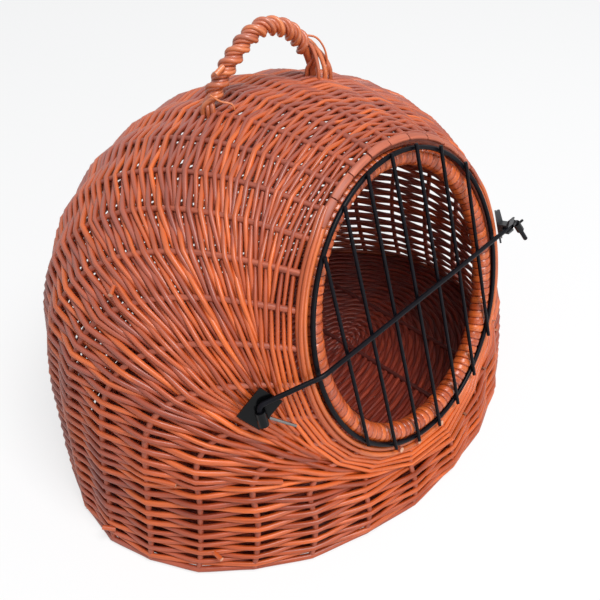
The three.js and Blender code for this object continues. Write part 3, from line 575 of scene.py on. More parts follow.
class Stake:
    """The middle line of a stake, measured by the length from its foot."""

    def __init__(self, number):
        angle = stake_angle(FIRST_STAKE + number * STAKE_STEP, SHARES)
        self.inward = inward(angle, SHARES)
        self.middle = skin(angle, SHARES) + self.inward * MID_DEPTH
        self.run = run_of(self.middle)
        upper = SHARES > UPPER_PART
        gaps = np.linalg.norm(self.middle[upper][:, None] - BORDER_POINTS[None], axis=2).min(1)
        self.end = self.run[upper][gaps > BORDER_CLEARANCE].max()

    def at(self, length):
        """The mid-wall point and the inward direction at a length up the stake."""
        s = np.interp(length, self.run, SHARES)
        into = between(s, SHARES, self.inward)
        return between(s, SHARES, self.middle), into / np.linalg.norm(into)


stakes = [Stake(k) for k in range(STAKES)]
# Where the middle of the back is, counted in stakes
BACK = (math.pi / 2 - FIRST_STAKE) / STAKE_STEP

# Rows of heavy rods at the foot and of fine ones at the border go all the way round. Pairs of rows lie
# between them, and many of these end where the front is short
BASE_ROWS = 8
TOP_ROWS = 4
BASE_PITCH = 4.0 * MM
TOP_PITCH = 3.85 * MM
FIRST_ROW = 0.9 * MM
FOOT_ROWS = 2
FOOT_RADIUS, BASE_RADIUS, TOP_RADIUS = 2.3 * MM, 2.05 * MM, 1.75 * MM
# Pitch and rod radius of the pairs, in mm, at shares of the way up
PITCH_PLACES = (0.0, 0.15, 0.45, 0.75, 1.0)
PITCH_STEPS = (4.8, 4.8, 4.6, 4.0, 3.75)
RADIUS_STEPS = (2.3, 2.3, 2.25, 2.0, 1.86)
# How much the room of the pairs varies, and how far a stake's rows may be squeezed to hold one more
ROOM_SPREAD = (0.88, 1.12)
ROOM_SLACK = 1.02
# Below 1, more of the pairs that end first lie near the mouth
NEAR_MOUTH_POWER = 1 / 3
# The share of its room that a pair takes one and two stakes before it ends
ROOM_BEFORE_END = ((1, 0.5), (2, 0.82))


def at_share(share, steps):
    return np.interp(share, PITCH_PLACES, steps) * MM


def middle_room(stake):
    return stake.end - FIRST_ROW - BASE_ROWS * BASE_PITCH - TOP_ROWS * TOP_PITCH


def places_of_pairs(room):
    """Where each pair of rows lies on the longest stake, as shares of the room between base and top rows."""
    places = []
    filled = 0.0
    while True:
        step = 2 * at_share(filled / room, PITCH_STEPS)
        if filled + step > room:
            return places
        places.append((filled + step / 2) / room)
        filled += step


def halved(number):
    """A sequence of shares from 0 to 1 in which any first few lie evenly apart."""
    share, step = 0.0, 0.5
    while number:
        share += step * (number % 2)
        number //= 2
        step /= 2
    return share


pair_places = places_of_pairs(max(middle_room(stake) for stake in stakes))
PAIRS = len(pair_places)
pair_rooms = [2 * at_share(place, PITCH_STEPS) * rng.uniform(*ROOM_SPREAD) for place in pair_places]

# The order in which the pairs end, from the back to the front: the highest priority number ends first
present = list(range(PAIRS))
priority = {}
for step in range(PAIRS):
    share = halved(step + 1) ** NEAR_MOUTH_POWER
    pair = present.pop(min(len(present) - 1, int(share * len(present))))
    priority[pair] = PAIRS - 1 - step
by_rank = sorted(range(PAIRS), key=lambda pair: priority[pair])


def pairs_at(number):
    """How many pairs of rows a stake has room for."""
    room = middle_room(stakes[number % STAKES]) * ROOM_SLACK
    count = 0
    for pair in by_rank:
        room -= pair_rooms[pair]
        if room < 0:
            break
        count += 1
    return max(1, count)


# Stakes are counted from the back to both sides, so that the seam in their numbers lies at the front
first_left = math.ceil(BACK)
counts = {}
for direction in (1, -1):
    number = first_left if direction == 1 else first_left - 1
    most = PAIRS
    for _ in range(STAKES // 2):
        most = min(most, pairs_at(number))
        counts[number] = most
        number += direction
low_number, high_number = min(counts), max(counts)
all_numbers = range(low_number, high_number + 1)
always = min(counts[low_number], counts[high_number])


def weight(pair, number):
    """How much room a pair of rows takes at a stake: less where it is about to end."""
    rank = priority[pair]
    if rank >= counts[number]:
        return 0.0
    share = 1.0
    for direction in (1, -1):
        if (number - BACK) * direction < 0:
            continue
        for ahead, left in ROOM_BEFORE_END:
            beyond = number + ahead * direction
            if low_number <= beyond <= high_number and rank >= counts[beyond]:
                share = min(share, left)
                break
    return share


rows = [("base", k) for k in range(BASE_ROWS)]
rows += [("pair", pair) for pair in range(PAIRS) for _ in range(2)]
rows += [("top", k) for k in range(TOP_ROWS)]


def row_room(kind, k, number):
    if kind == "pair":
        return pair_rooms[k] / 2 * weight(k, number)
    return BASE_PITCH if kind == "base" else TOP_PITCH


def row_radius(kind, k):
    if kind == "base":
        return FOOT_RADIUS if k < FOOT_ROWS else BASE_RADIUS
    if kind == "top":
        return TOP_RADIUS
    return at_share(pair_places[k], RADIUS_STEPS)


heights = {}
for number in all_numbers:
    room = np.array([row_room(kind, k, number) for kind, k in rows])
    squeeze = (stakes[number % STAKES].end - FIRST_ROW) / room.sum()
    heights[number] = FIRST_ROW + (np.cumsum(room) - 0.5 * room) * squeeze

# How far a rod is sunk into the stakes that it goes round, in mm, at the foot and how much more at the top
SINK, SINK_GROWTH = 2.15, 0.8
SWAY_SPREAD = (-0.2, 0.3)
HEIGHT_SPREAD = 0.35
# The lowest rows hardly leave the middle of the wall
FOOT_SWAY = {0: 0.3, 1: 0.45, 2: 0.75}
# A row's end is cut off outside a stake at the front, or else tucked in behind the next one. Each kind of
# end has its share of the way to the next stake and its sway there
CUT_SHARE = 0.3
CUT_WAY, CUT_SWAY = (0.4, 0.62), 1.15
DEEP_WAY, DEEP_SWAY = 1.0, 1.5
SHORT_WAY, SHORT_SWAY = (0.3, 0.45), 1.2


def is_lower_mouth(number):
    """Whether a stake ends at the lower part of the mouth."""
    return number >= STAKES // 2 or number < 0


def stake_stop(row, number, radius, outside=None, reach=1.0):
    """Where a row crosses a stake: the point in mid-wall, the way from there to the rod, and its side."""
    known = number - STAKES if number > high_number else number + STAKES if number < low_number else number
    height = heights[known][row] + rng.uniform(-HEIGHT_SPREAD, HEIGHT_SPREAD) * MM
    place, into = stakes[number % STAKES].at(height)
    if outside is None:
        outside = (row + number) % 2 == 0
    sunk = (SINK + SINK_GROWTH * row / len(rows)) * MM
    sway = STAKE_RADIUS + radius - sunk + rng.uniform(*SWAY_SPREAD) * MM
    sway = sway * reach * FOOT_SWAY.get(row, 1.0)
    return place, into * (-sway if outside else sway), outside


def end_stop(row, last, direction, radius):
    """The place beyond its last stake where a row ends, mostly tucked in and sometimes cut off outside."""
    here = stake_stop(row, last, radius)
    at_front = last > STAKES // 2 or last < -1
    cut_outside = here[2] and at_front and rng.random() < CUT_SHARE
    if cut_outside:
        share, outside, reach = rng.uniform(*CUT_WAY), True, CUT_SWAY
    elif here[2]:
        share, outside, reach = DEEP_WAY, False, DEEP_SWAY
    else:
        share, outside, reach = rng.uniform(*SHORT_WAY), False, SHORT_SWAY
    there = stake_stop(row, last + direction, radius, outside, reach)
    place = here[0] + (there[0] - here[0]) * share
    lean = here[1] + (there[1] - here[1]) * share
    return (place, lean, here[2]), cut_outside


STEPS = 5


def rod_through(stops, closed):
    """A path from stake to stake, straight along the wall and easing from one side of it to the other."""
    path = []
    count = len(stops)
    for k in range(count if closed else count - 1):
        here, there = stops[k], stops[(k + 1) % count]
        for step in range(STEPS):
            u = step / STEPS
            ease = u * u * (3 - 2 * u)
            path.append(here[0] + (there[0] - here[0]) * u + here[1] + (there[1] - here[1]) * ease)
    if not closed:
        path.append(stops[-1][0] + stops[-1][1])
    return np.array(path)


# The length of a single rod in metres, its thickness against the row's, and its taper from butt to tip
ROD_LENGTHS = (0.8, 1.15)
ROD_SIZES = (0.94, 1.08)
BUTT_SIZE, TIP_LOSS = 1.08, 0.2
TONE_SPREAD = 2.2


def rod_wear(path, radius, closed):
    """Radius and tone along a row that is made of one rod after another, each from butt to tip."""
    length = run_of(path)
    number = max(1, round(length[-1] / rng.uniform(*ROD_LENGTHS)))
    phase = length / length[-1] * number + rng.uniform(0, 1)
    which = np.floor(phase).astype(int)
    if closed:
        which = which % number
    tones = [rng.betavariate(TONE_SPREAD, TONE_SPREAD) for _ in range(number + 2)]
    sizes = [rng.uniform(*ROD_SIZES) for _ in range(number + 2)]
    taper = BUTT_SIZE - TIP_LOSS * (phase % 1.0)
    return radius * np.array(sizes)[which] * taper, np.array(tones)[which]


# The top rows lie in front of the stakes along the lower mouth, where they get brighter and thicker
TOP_TONE_LOST, TOP_TONE_ADDED, TOP_SIZE_ADDED = 0.8, 0.76, 0.1
EASED_OVER = 9
# The ends of a rod thin out to this size over this many stakes
END_SIZE, END_STAKES = 0.82, 2.5


def add_whole_row(row, kind, radius):
    """A row that goes all the way round."""
    stops = []
    for number in all_numbers:
        floats = kind == "top" and is_lower_mouth(number)
        stops.append(stake_stop(row, number, radius, True if floats else None))
    path = rod_through(stops, True)
    sizes, tone = rod_wear(path, radius, True)
    if kind == "top":
        lower = np.repeat([float(is_lower_mouth(number)) for number in all_numbers], STEPS)
        lap = EASED_OVER // 2
        lapped = np.concatenate([lower[-lap:], lower, lower[:lap]])
        eased = np.convolve(lapped, np.ones(EASED_OVER) / EASED_OVER, "valid")
        tone = tone * (1 - TOP_TONE_LOST * eased) + TOP_TONE_ADDED * eased
        sizes = sizes * (1 + TOP_SIZE_ADDED * eased)
    wall.add(path, sizes, 8, True, tone)


def add_open_row(row, pair, radius):
    """A row that ends at both sides, where its pair does."""
    held = [number for number in all_numbers if priority[pair] < counts[number]]
    first, last = min(held), max(held)
    start, start_cut = end_stop(row, first, -1, radius)
    end, end_cut = end_stop(row, last, 1, radius)
    stops = [start] + [stake_stop(row, number, radius) for number in range(first, last + 1)] + [end]
    path = rod_through(stops, False)
    sizes, tone = rod_wear(path, radius, False)
    steps_in = np.minimum(np.arange(len(path)), np.arange(len(path))[::-1])
    sizes = sizes * np.interp(steps_in, [0, END_STAKES * STEPS], [END_SIZE, 1.0])
    wall.add(path, sizes, 8, False, tone, end_slots=(int(start_cut), int(end_cut)))


wall = Rods("woven_wall")
for row, (kind, k) in enumerate(rows):
    if kind == "pair" and priority[k] >= always:
        add_open_row(row, k, row_radius(kind, k))
    else:
        add_whole_row(row, kind, row_radius(kind, k))

# Cut ends that stand out of the left flank: angle in degrees, share of the way up, lean, length and radius
FLANK_PEGS = (
    (155.5, 0.724, 1.4, 9 * MM, 1.7 * MM),
    (185, 0.054, -1.6, 11 * MM, 2.0 * MM),
    (212, 0.122, 1.2, 9 * MM, 1.8 * MM),
)
PEG_ROOT = 4 * MM
PEG_TONE = 0.7
for degrees, share, lean, length, radius in FLANK_PEGS:
    angle = math.radians(degrees)
    place, into = skin(angle, share), inward(angle, share)
    around = unit(skin(angle + 0.01, share) - skin(angle - 0.01, share))
    way = unit(-into + around * lean)
    path = [place + into * PEG_ROOT + way * t for t in np.linspace(0, length, 4)]
    wall.add(path, radius, 10, False, PEG_TONE, end_slots=(1, 1))
wall.build([WEAVE, CUT_END], "basket", ["foot_band", "lower_wall", "dome_wall"])


def border_line(angles, out_radial, out_forward):
    """A line along the border, this many mm out from its middle and this many towards the front."""
    return oval(BORDER, angles) + oval_radial(BORDER, angles) * out_radial * MM + OUTWARD * out_forward * MM


# How far up a stake is drawn from, and how far into the border it goes
STAKE_MARGIN = 4 * MM
STAKE_POINT_PITCH = 12 * MM
STAKE_SIZES = (0.94, 1.04)
# Cut ends of rods in the lower border, at these angles in degrees
BORDER_PEGS = (246, 257.5, 272.75)
BORDER_PEG_RADIUS = 2.3 * MM
BORDER_PEG_TONE = 0.8

uprights = Rods("stakes")
for stake in stakes:
    length = stake.end + STAKE_MARGIN
    points = max(8, int(length / STAKE_POINT_PITCH))
    path = [stake.at(t)[0] for t in np.linspace(STAKE_MARGIN, length, points)]
    uprights.add(path, STAKE_RADIUS * rng.uniform(*STAKE_SIZES), 8, False, rng.uniform(0.2, 0.8))
for degrees in BORDER_PEGS:
    foot = border_line(math.radians(degrees), 0.4, -2)
    path = [foot + OUTWARD * t * MM for t in (0, 3, 6, 9)]
    uprights.add(path, BORDER_PEG_RADIUS, 10, False, BORDER_PEG_TONE, end_slots=(1, 1))
uprights.build([STAKE, CUT_END], "basket", [f"stake_{k + 1:02d}" for k in range(STAKES)])

# Border round the mouth: rods along its lower part, and flat pieces over a core along its upper part

ROUND_STEPS = 180
turns = np.arange(ROUND_STEPS) * TAU / ROUND_STEPS
CORE_OUT, CORE_FORWARD, CORE_RADIUS, CORE_TONE = -0.8, -1.6, 3.3 * MM, 0.1
LOWER_ARC = (math.radians(122), math.radians(391))
UPPER_ARC = (math.radians(24), math.radians(129))
# Outwards, forwards and radius of each rod, in mm, and how its ends sink in over the last of the arc
LOWER_RODS = ((-1.2, 2.0, 2.2), (2.6, -0.6, 2.2), (3.2, 2.6, 1.9))
ROD_WANDER, ROD_END_SINK, ROD_END_ARC = 0.4, 2.2, 0.22

border = Rods("mouth_border_rods")
border.add(border_line(turns, CORE_OUT, CORE_FORWARD), CORE_RADIUS, 10, True, CORE_TONE, slot=1)
lower_turns = np.linspace(*LOWER_ARC, 144)
to_end = np.minimum(lower_turns - LOWER_ARC[0], LOWER_ARC[1] - lower_turns)
end_sink = ROD_END_SINK * (1 - smooth(to_end, 0, ROD_END_ARC))[:, None] * MM
for k, (out_radial, out_forward, radius) in enumerate(LOWER_RODS):
    wander = ROD_WANDER * np.sin(lower_turns * 4 + k * 2.1)[:, None] * MM
    path = border_line(lower_turns, out_radial, out_forward) + (wander - end_sink) * OUTWARD
    sizes, tone = rod_wear(path, radius * MM, False)
    border.add(path, sizes, 10, False, tone)

FLAT_LENGTH, FLAT_GAP = 20 * MM, 1.1 * MM
# In mm, like the lift of a piece's middle
FLAT_OUT, FLAT_FORWARD = 1.9, 1.5
FLAT_HALF_WIDTH, FLAT_HALF_HEIGHT = 3.2, 1.5
FLAT_SIDES = 14
# Powers below 1 square the outline of a flat piece off
SIDE_POWER, HEIGHT_POWER = 0.6, 0.7
FLAT_POINTS = 9
FLAT_CROWN = 0.4
FLAT_SIZES = (0.94, 1.03)
FLAT_END_SIZE = 0.86

flat_outline = []
for k in range(FLAT_SIDES):
    turn = k * TAU / FLAT_SIDES
    side, height = math.cos(turn), math.sin(turn)
    flat_outline.append([
        math.copysign(abs(side) ** SIDE_POWER, side) * FLAT_HALF_WIDTH,
        math.copysign(abs(height) ** HEIGHT_POWER, height) * FLAT_HALF_HEIGHT,
    ])
upper_run = np.linspace(*UPPER_ARC, 400)
upper_length = run_of(border_line(upper_run, 0, 0))
pieces = int(upper_length[-1] / (FLAT_LENGTH + FLAT_GAP))
lift = FLAT_CROWN * np.sin(np.linspace(0, math.pi, FLAT_POINTS))[:, None] * MM
narrowing = np.ones(FLAT_POINTS)
narrowing[[0, -1]] = FLAT_END_SIZE
for k in range(pieces):
    start = upper_length[-1] * k / pieces + FLAT_GAP / 2
    end = upper_length[-1] * (k + 1) / pieces - FLAT_GAP / 2
    angles = np.interp(np.linspace(start, end, FLAT_POINTS), upper_length, upper_run)
    up = oval_radial(BORDER, angles) + OUTWARD
    path = border_line(angles, FLAT_OUT + rng.uniform(-0.5, 0.5), FLAT_FORWARD)
    path = path + unit(up) * (lift + rng.uniform(-0.3, 0.3) * MM)
    size = MM * narrowing * rng.uniform(*FLAT_SIZES)
    tone = rng.betavariate(2, 2)
    border.add(path, size, tone=tone, outline=flat_outline, up=up, slot=1, end_slots=(1, 1))
border.build([BRIGHT, FLAT], "basket", ["mouth_border"])

# Binding of the rim: a flat skein wound round the hoop

BANDS = 104
PER_BAND = 16
SIDES = 22
# The radius at the seams and how much more the middle of a turn has, in mm
SEAM_RADIUS, CROWN_RISE, CROWN_SPREAD = 6.6, 1.2, 0.2
CROWN_POWER = 5
# Painted shade in the seams: a turn's tone is lowest below the first of these shares of its crown and whole
# above the second
PAINTED_SEAM_SHADE = (0.16, 0.7)
GRAIN_WIDTH = 8 * MM
BAND_GRAIN_STEP = 0.013

around = np.arange(BANDS * PER_BAND) * TAU / (BANDS * PER_BAND)
to_top = ((1 + np.sin(around))[:, None] / 2) ** 2
rim_centre = oval(RIM, around) + UPWARD * RIM_TOP_RISE * to_top - OUTWARD * RIM_TOP_SET_BACK * to_top
rim_radial = oval_radial(RIM, around)
section = np.arange(SIDES) * TAU / SIDES
winding = around[:, None] / TAU * BANDS + section[None, :] / TAU
phase = winding % 1.0
band_number = np.floor(winding + 1e-9).astype(int) % BANDS
band_height = np.array([rng.uniform(-CROWN_SPREAD, CROWN_SPREAD) for _ in range(BANDS)])
band_tone = np.array([0.3 + 0.65 * rng.betavariate(2, 2) for _ in range(BANDS)])
crown = 1 - np.abs(phase * 2 - 1) ** CROWN_POWER
radius = (SEAM_RADIUS + (CROWN_RISE + band_height[band_number]) * crown) * MM
places = (
    rim_centre[:, None, :]
    + rim_radial[:, None, :] * (np.cos(section)[None, :, None] * radius[..., None])
    + OUTWARD[None, None, :] * (np.sin(section)[None, :, None] * radius[..., None])
)
across_band = section[None, :] * GRAIN_WIDTH
grain = np.stack(np.broadcast_arrays(across_band, phase * GRAIN_WIDTH, band_number * BAND_GRAIN_STEP), -1)

binding = Rods("rim_binding")
binding.places.append(places.reshape(-1, 3))
binding.grain.append(grain.reshape(-1, 3))
# Each turn's tone, darkened towards its seams as painted shade
binding.tones.append((band_tone[band_number] * smooth(crown, *PAINTED_SEAM_SHADE)).reshape(-1))
# Turned over, because these rings run the other way round
binding.faces = grid_faces(0, len(around), len(around), SIDES)[:, [0, 3, 2, 1]].tolist()
binding.slots = [0] * len(binding.faces)
binding.build([BINDING], "basket", ["rim_wrap", "rim_hoop"])

# Handle: a core bow with two strands of three rods roped round it, and rods let into the roof

LEFT_FOOT = np.array([-45.0, 57.0, 304.8]) * MM
RIGHT_FOOT = np.array([64.0, 44.0, 302.9]) * MM
HANDLE_RISE = 50 * MM
# Shares of the half span and of the rise
BOW_SHAPE = (
    (-1, 0), (-0.8, 0.3), (-0.56, 0.6), (-0.3, 0.85), (0, 1), (0.3, 0.95), (0.6, 0.76), (0.85, 0.42), (1, 0),
)
BOW_ROOT = 3.6 * MM
BOW_RADIUS = 3.6 * MM
BOW_TONE = 0.2
DOWN = np.array([0, 0, -1.0])
bow_points = []
for across, rise in BOW_SHAPE:
    foot = LEFT_FOOT + (RIGHT_FOOT - LEFT_FOOT) * (across + 1) / 2
    bow_points.append(foot + np.array([0, 0, rise]) * HANDLE_RISE)
bow = curve_through([bow_points[0] + DOWN * BOW_ROOT] + bow_points + [bow_points[-1] + DOWN * BOW_ROOT], 12)
bow_run = run_of(bow)
bow_shares = bow_run / bow_run[-1]


def on_bow(share):
    """A place on the bow with the two directions square to it."""
    behind, place, ahead = (between(share + step, bow_shares, bow) for step in (-0.01, 0, 0.01))
    tangent = unit(ahead - behind)
    side = unit(np.cross(tangent, [0, 1, 0]))
    return place, side, np.cross(side, tangent)


def led_to(start, way, end, final, count=9):
    """A smooth lead from a point that runs one way to an end that it meets another way."""
    reach = np.linalg.norm(end - start) * 0.9
    u = np.linspace(0, 1, count + 1)[1:, None]
    return (
        (2 * u**3 - 3 * u**2 + 1) * start
        + (u**3 - 2 * u**2 + u) * way * reach
        + (3 * u**2 - 2 * u**3) * end
        + (u**3 - u**2) * final * reach
    )


def curve_in_mm(*points):
    return curve_through([np.array(point) * MM for point in points])


# Turns of the rope over the length between two left margins. The strands end at their own right margins
TURNS = 6.5
PER_TURN = 20
LEFT_MARGIN = 0.09
RIGHT_MARGINS = (0.10, 0.2)
# The middle rod of a strand is thicker and lies further out than the two beside it
STRAND_PITCH = 2.75 * MM
OUTER_ORBIT, MIDDLE_ORBIT = 4.3 * MM, 5.9 * MM
STRAND_ROD, MIDDLE_ROD_MORE = 1.75 * MM, 0.35 * MM
INTO_ROOF = DOWN * 7 * MM
WOBBLE, WOBBLE_RATE = 0.06, 0.31
# Where each rod of a strand goes into the roof, in mm
LEFT_ROOTS = (
    ((-47.6, 53.4, 304.9), (-44.9, 50.6, 305.8), (-42.5, 53.0, 306.0)),
    ((-46.6, 60.0, 304.0), (-49.0, 57.5, 303.9), (-44.0, 61.5, 304.3)),
)
RIGHT_ROOTS = (
    ((58.2, 45.3, 303.9), (61.5, 42.2, 303.6), (63.0, 46.8, 303.2)),
    ((57.1, 30.9, 305.4), (64.0, 29.7, 303.9), (70.9, 29.4, 302.1)),
)

handle = Rods("handle_rope")
handle.add(bow, BOW_RADIUS, 10, False, BOW_TONE)
for strand, right_margin in enumerate(RIGHT_MARGINS):
    roped = 1 - LEFT_MARGIN - right_margin
    count = int(round(TURNS * PER_TURN * roped / (1 - 2 * LEFT_MARGIN)))
    for rod in range(3):
        is_middle = rod == 1
        along = (rod - 1) * STRAND_PITCH / bow_run[-1]
        orbit = MIDDLE_ORBIT if is_middle else OUTER_ORBIT
        path = []
        for k in range(count + 1):
            place, side, level = on_bow(LEFT_MARGIN + roped * k / count + along)
            turn = strand * math.pi + TAU * k / PER_TURN
            path.append(place + level * orbit * math.cos(turn) + side * orbit * math.sin(turn))
        path = np.array(path)
        left = np.array(LEFT_ROOTS[strand][rod]) * MM
        right = np.array(RIGHT_ROOTS[strand][rod]) * MM
        before = led_to(path[0], unit(path[0] - path[1]), left, DOWN)[::-1]
        after = led_to(path[-1], unit(path[-1] - path[-2]), right, DOWN)
        path = np.concatenate([[left + INTO_ROOF], before, path, after, [right + INTO_ROOF]])
        tone = rng.betavariate(2, 2)
        wobble = 1 + WOBBLE * np.sin(np.arange(len(path)) * WOBBLE_RATE + rod * 2 + strand)
        handle.add(path, (STRAND_ROD + (MIDDLE_ROD_MORE if is_middle else 0)) * wobble, 8, False, tone)

# The loose ends: a skein at the left foot, a cut rod above it and a loop beside the right foot
skein = curve_in_mm((-47, 50, 318), (-41, 46, 312), (-34.1, 39.6, 308.7), (-33, 38, 304))
handle.add(skein, 0.8 * MM, 6, False, 0.95)
cut_tip = np.array([-39.0, 51.0, 331.5]) * MM
cut_rod = [cut_tip + np.array([8.0, -0.5, 4.0]) * MM * t for t in (1.0, 0.7, 0.35, 0.0)]
handle.add(cut_rod, 2.3 * MM, 10, False, 0.8, end_slots=(1, 1))
loop = curve_in_mm((52, 42, 338), (60, 37, 335), (65.5, 33, 326), (67, 30.5, 316), (67, 29.5, 303))
handle.add(loop, 0.9 * MM, 6, False, 0.6)
handle_nodes = ["handle_bow", "handle_wrap_1", "handle_wrap_2", "handle_side_rod"]
handle.build([ROPE, CUT_END], "basket", handle_nodes)

# Floor: ovals of rods woven round spokes, which are left out, and a rod along their middle

FLOOR_ROUNDS = 44
FLOOR_SPOKES = 28
FLOOR_INSET = 12 * MM
FLOOR_HEIGHT = 6.0 * MM
FLOOR_RISE = 1.3 * MM
FLOOR_ROD = 2.5 * MM
FLOOR_ROD_LIMITS = (2.4 * MM, 2.6 * MM)
CENTRE_HALF_LENGTH, CENTRE_HEIGHT, CENTRE_RADIUS = 66, 5.0 * MM, 2.3 * MM

floor_rods = Rods("woven_base")
for ring_number in range(FLOOR_ROUNDS):
    half_depth = (BASE_HALF_DEPTH - FLOOR_INSET) * ((ring_number + 0.8) / FLOOR_ROUNDS)
    half_width = half_depth + BASE_HALF_WIDTH - BASE_HALF_DEPTH
    stops = []
    for k in range(FLOOR_SPOKES):
        angle = k * TAU / FLOOR_SPOKES
        place = np.array([half_width * math.cos(angle), half_depth * math.sin(angle), FLOOR_HEIGHT])
        rise = FLOOR_RISE if (k + ring_number) % 2 == 0 else -FLOOR_RISE
        stops.append((place, np.array([0, 0, rise]), True))
    path = rod_through(stops, True)
    sizes, tone = rod_wear(path, FLOOR_ROD, True)
    # Painted shade: a rod's tone is lighter where it rises over a spoke and darker where it dips under one
    painted_over_under_shade = 0.5 + 0.5 * np.cos((np.arange(len(path)) / STEPS + ring_number) * math.pi)
    floor_rods.add(path, np.clip(sizes, *FLOOR_ROD_LIMITS), 8, True, tone * 0.5 + 0.5 * painted_over_under_shade)
centre_line = [[x * MM, 0, CENTRE_HEIGHT] for x in np.linspace(-CENTRE_HALF_LENGTH, CENTRE_HALF_LENGTH, 12)]
floor_rods.add(centre_line, CENTRE_RADIUS, 8, False, 0.3)
floor_rods.build([FLOOR], "basket", ["woven_floor"])

STICKS = 5
STICK_RADIUS = 2.8 * MM
STICK_TIP_SIZE = 0.93
STICK_POINTS = 16

sticks = Rods("base_sticks")
stick_sizes = STICK_RADIUS * np.linspace(1.0, STICK_TIP_SIZE, STICK_POINTS)
for k in range(STICKS):
    low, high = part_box(f"base_stick_{k + 1}")
    x, z = (low[0] + high[0]) / 2, (low[2] + high[2]) / 2
    ys = np.linspace(low[1], high[1], STICK_POINTS)
    path = [[x + 0.3 * MM * math.sin(y * 40 + k), y, z] for y in ys]
    sticks.add(path, stick_sizes, 10, False, rng.uniform(0.0, 0.25), end_slots=(1, 1))
sticks.build([FLOOR, CUT_END], "basket", [f"base_stick_{k + 1}" for k in range(STICKS)])

# Door: ring, bars and the cross rod that carries it

BARS = 7
RING_WIRE_RADIUS, BAR_RADIUS, ROD_RADIUS = 2.0 * MM, 1.5 * MM, 2.0 * MM
# In mm: between bars, past the ring's middle line at their ends, and in front of it
BAR_PITCH, BAR_OVERHANG, BAR_OUT = 28.7, 3.5, 3.8

door = Rods("door_wires")
door.add(oval(RING, turns), RING_WIRE_RADIUS, 10, True)
ring_half_width, ring_half_height = RING[0] / MM, RING[1] / MM
for k in range(BARS):
    across = (k - BARS // 2) * BAR_PITCH
    reach = ring_half_height * math.sqrt(1 - (across / ring_half_width) ** 2) + BAR_OVERHANG
    path = [from_mouth(across, u, BAR_OUT) for u in np.linspace(-reach, reach, 12)]
    door.add(path, BAR_RADIUS, 10)

# The cross rod, in mm: it turns down into its clip at the left, crosses the bars and ends in a hook
HINGE_ANGLE, HINGE_SHARE = math.radians(189), 0.91
HINGE_STAND = 6.2 * MM
PIN_LENGTH, PIN_TOP = 17.0, -2.1
ROD_HEIGHT, ROD_OUT = 3.9, 7.6
ROD_LEFT, ROD_RIGHT = -116.3, 124
HOOK_START, HOOK_END, HOOK_SET_BACK, HOOK_DROP = 145, 159.7, 2.9, 25.0
ROD_BEND = 5 * MM
hinge = skin(HINGE_ANGLE, HINGE_SHARE) - inward(HINGE_ANGLE, HINGE_SHARE) * HINGE_STAND - MOUTH
hinge_x, hinge_n = hinge.dot(ACROSS) / MM, hinge.dot(OUTWARD) / MM
rod_corners = [
    from_mouth(hinge_x, PIN_TOP - PIN_LENGTH, hinge_n),
    from_mouth(hinge_x, PIN_TOP, hinge_n),
    from_mouth(ROD_LEFT, ROD_HEIGHT, ROD_OUT),
    from_mouth(ROD_RIGHT, ROD_HEIGHT, ROD_OUT),
    from_mouth(HOOK_START, ROD_HEIGHT, ROD_OUT - HOOK_SET_BACK),
    from_mouth(HOOK_END, ROD_HEIGHT - HOOK_DROP, ROD_OUT - HOOK_SET_BACK),
]
door.add(rounded(rod_corners, ROD_BEND), ROD_RADIUS, 12)
door_nodes = ["door_ring", "cross_rod"] + [f"door_bar_{k + 1}" for k in range(BARS)]
door.build([WIRE], "grille_door", door_nodes)

# The CAD's own solids that stay, with the width of their rounded edges
for name, finish, edge in (
    ("rod_sleeve", CLIP, 0.35 * MM),
    ("hook_sleeve", CLIP, 0.35 * MM),
    ("hinge_clip", CLIP, 1.2 * MM),
    ("latch_clip", LATCH, 0.35 * MM),
    ("hinge_clip_pin", STEEL, 0.35 * MM),
    ("latch_clip_rivet", STEEL, 0.35 * MM),
):
    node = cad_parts[name]
    node.data.materials.clear()
    node.data.materials.append(finish)
    bevel = node.modifiers.new("edges", "BEVEL")
    bevel.width = edge
    bevel.segments = 3
    bevel.limit_method = "ANGLE"
    bevel.angle_limit = math.radians(40)

# Floor, light and camera

GROUND_HALF = 6.0
GROUND_COLOUR = (0.93, 0.93, 0.93, 1)
# The share of plain white in what the camera sees of the floor
GROUND_GLOW = 0.72


def combined(tree, operation, first, second):
    return new_node(tree, "Math", {0: first, 1: second}, operation=operation).outputs[0]


def ground_material():
    """A pale floor that the camera sees as nearly white, with the object's shadow on it."""
    material, tree, shader = new_material("pale_floor")
    set_inputs(shader, {"Base Color": GROUND_COLOUR, "Roughness": 0.9, "Specular IOR Level": 0.0})
    glow = new_node(tree, "Emission", {"Color": (1, 1, 1, 1)})
    seen = new_node(tree, "LightPath").outputs["Is Camera Ray"]
    share = combined(tree, "MULTIPLY", seen, GROUND_GLOW)
    blend = new_node(tree, "MixShader", {0: share, 1: shader.outputs[0], 2: glow.outputs[0]})
    output = next(node for node in tree.nodes if node.type == "OUTPUT_MATERIAL")
    tree.links.new(blend.outputs[0], output.inputs[0])
    return material


corners = [(x * GROUND_HALF, y * GROUND_HALF, 0) for x, y in ((-1, -1), (1, -1), (1, 1), (-1, 1))]
mesh = bpy.data.meshes.new("floor")
mesh.from_pydata(corners, [], [(0, 1, 2, 3)])
mesh.materials.append(ground_material())
ground = bpy.data.objects.new("floor", mesh)
bpy.context.scene.collection.objects.link(ground)

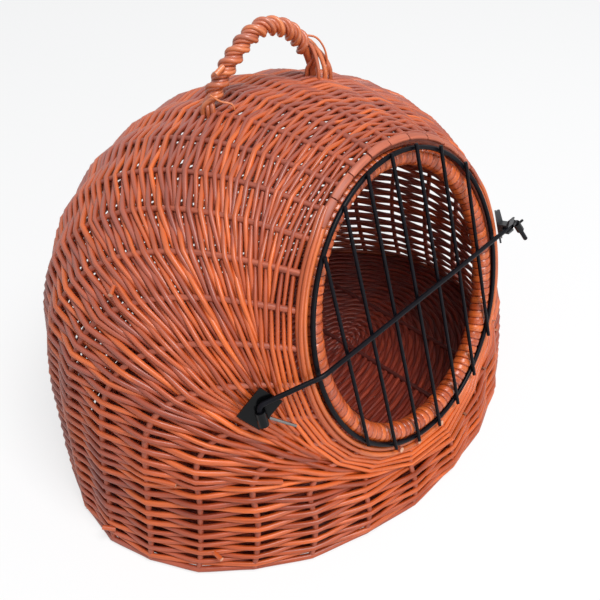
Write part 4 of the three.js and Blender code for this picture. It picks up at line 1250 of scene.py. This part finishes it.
# The world lights the object with this level, and is white where the camera or a reflection sees it
WORLD_LEVEL = 0.36
WORLD_TINT, WHITE = (0.9, 0.94, 1.0, 1), (1, 1, 1, 1)
world = bpy.data.worlds.new("studio")
bpy.context.scene.world = world
world.use_nodes = True
tree = world.node_tree
tree.nodes.clear()
paths = new_node(tree, "LightPath").outputs
seen = combined(tree, "MAXIMUM", paths["Is Camera Ray"], paths["Is Glossy Ray"])
seen = combined(tree, "MAXIMUM", seen, paths["Is Transmission Ray"])
background = new_node(tree, "Background", {
    "Strength": mapped(tree, seen, {"To Min": WORLD_LEVEL, "To Max": 1.0}),
    "Color": mix(tree, "MIX", seen, WORLD_TINT, WHITE),
})
new_node(tree, "OutputWorld", {0: background.outputs[0]})


def softbox(name, place, target, size, power):
    data = bpy.data.lights.new(name, "AREA")
    data.shape = "RECTANGLE"
    data.size, data.size_y = size
    data.energy = power
    lamp = bpy.data.objects.new(name, data)
    bpy.context.scene.collection.objects.link(lamp)
    lamp.location = place
    lamp.rotation_euler = (Vector(target) - Vector(place)).to_track_quat("-Z", "Y").to_euler()


softbox("key_light", place=(-0.15, -1.05, 2.5), target=(0, 0, 0.15), size=(1.1, 1.1), power=58)
softbox("fill_light", place=(-0.35, -1.9, 0.5), target=(0, 0, 0.2), size=(1.0, 0.6), power=8)

# The camera, as fitted to the photo's outline: focal length in pixels of its 600, directions and place
FOCAL_PIXELS, PHOTO_PIXELS, SENSOR_WIDTH = 789.67, 600, 36
AZIMUTH, ELEVATION = -0.82567, 0.70489
CAMERA_PLACE = Vector((-414.3, -382.8, 590.7)) * MM
camera_data = bpy.data.cameras.new("camera")
camera = bpy.data.objects.new("camera", camera_data)
bpy.context.scene.collection.objects.link(camera)
camera_data.sensor_width = SENSOR_WIDTH
camera_data.lens = FOCAL_PIXELS / PHOTO_PIXELS * SENSOR_WIDTH
level = math.cos(ELEVATION)
back = Vector((math.sin(AZIMUTH) * level, -math.cos(AZIMUTH) * level, math.sin(ELEVATION)))
right = Vector((math.cos(AZIMUTH), math.sin(AZIMUTH), 0))
over = back.cross(right)
turned = Matrix((right, over, back)).transposed().to_4x4()
turned.translation = CAMERA_PLACE
camera.matrix_world = turned
camera_data.clip_start = 0.01
bpy.context.scene.camera = camera

bpy.context.scene.view_settings.view_transform = "Standard"
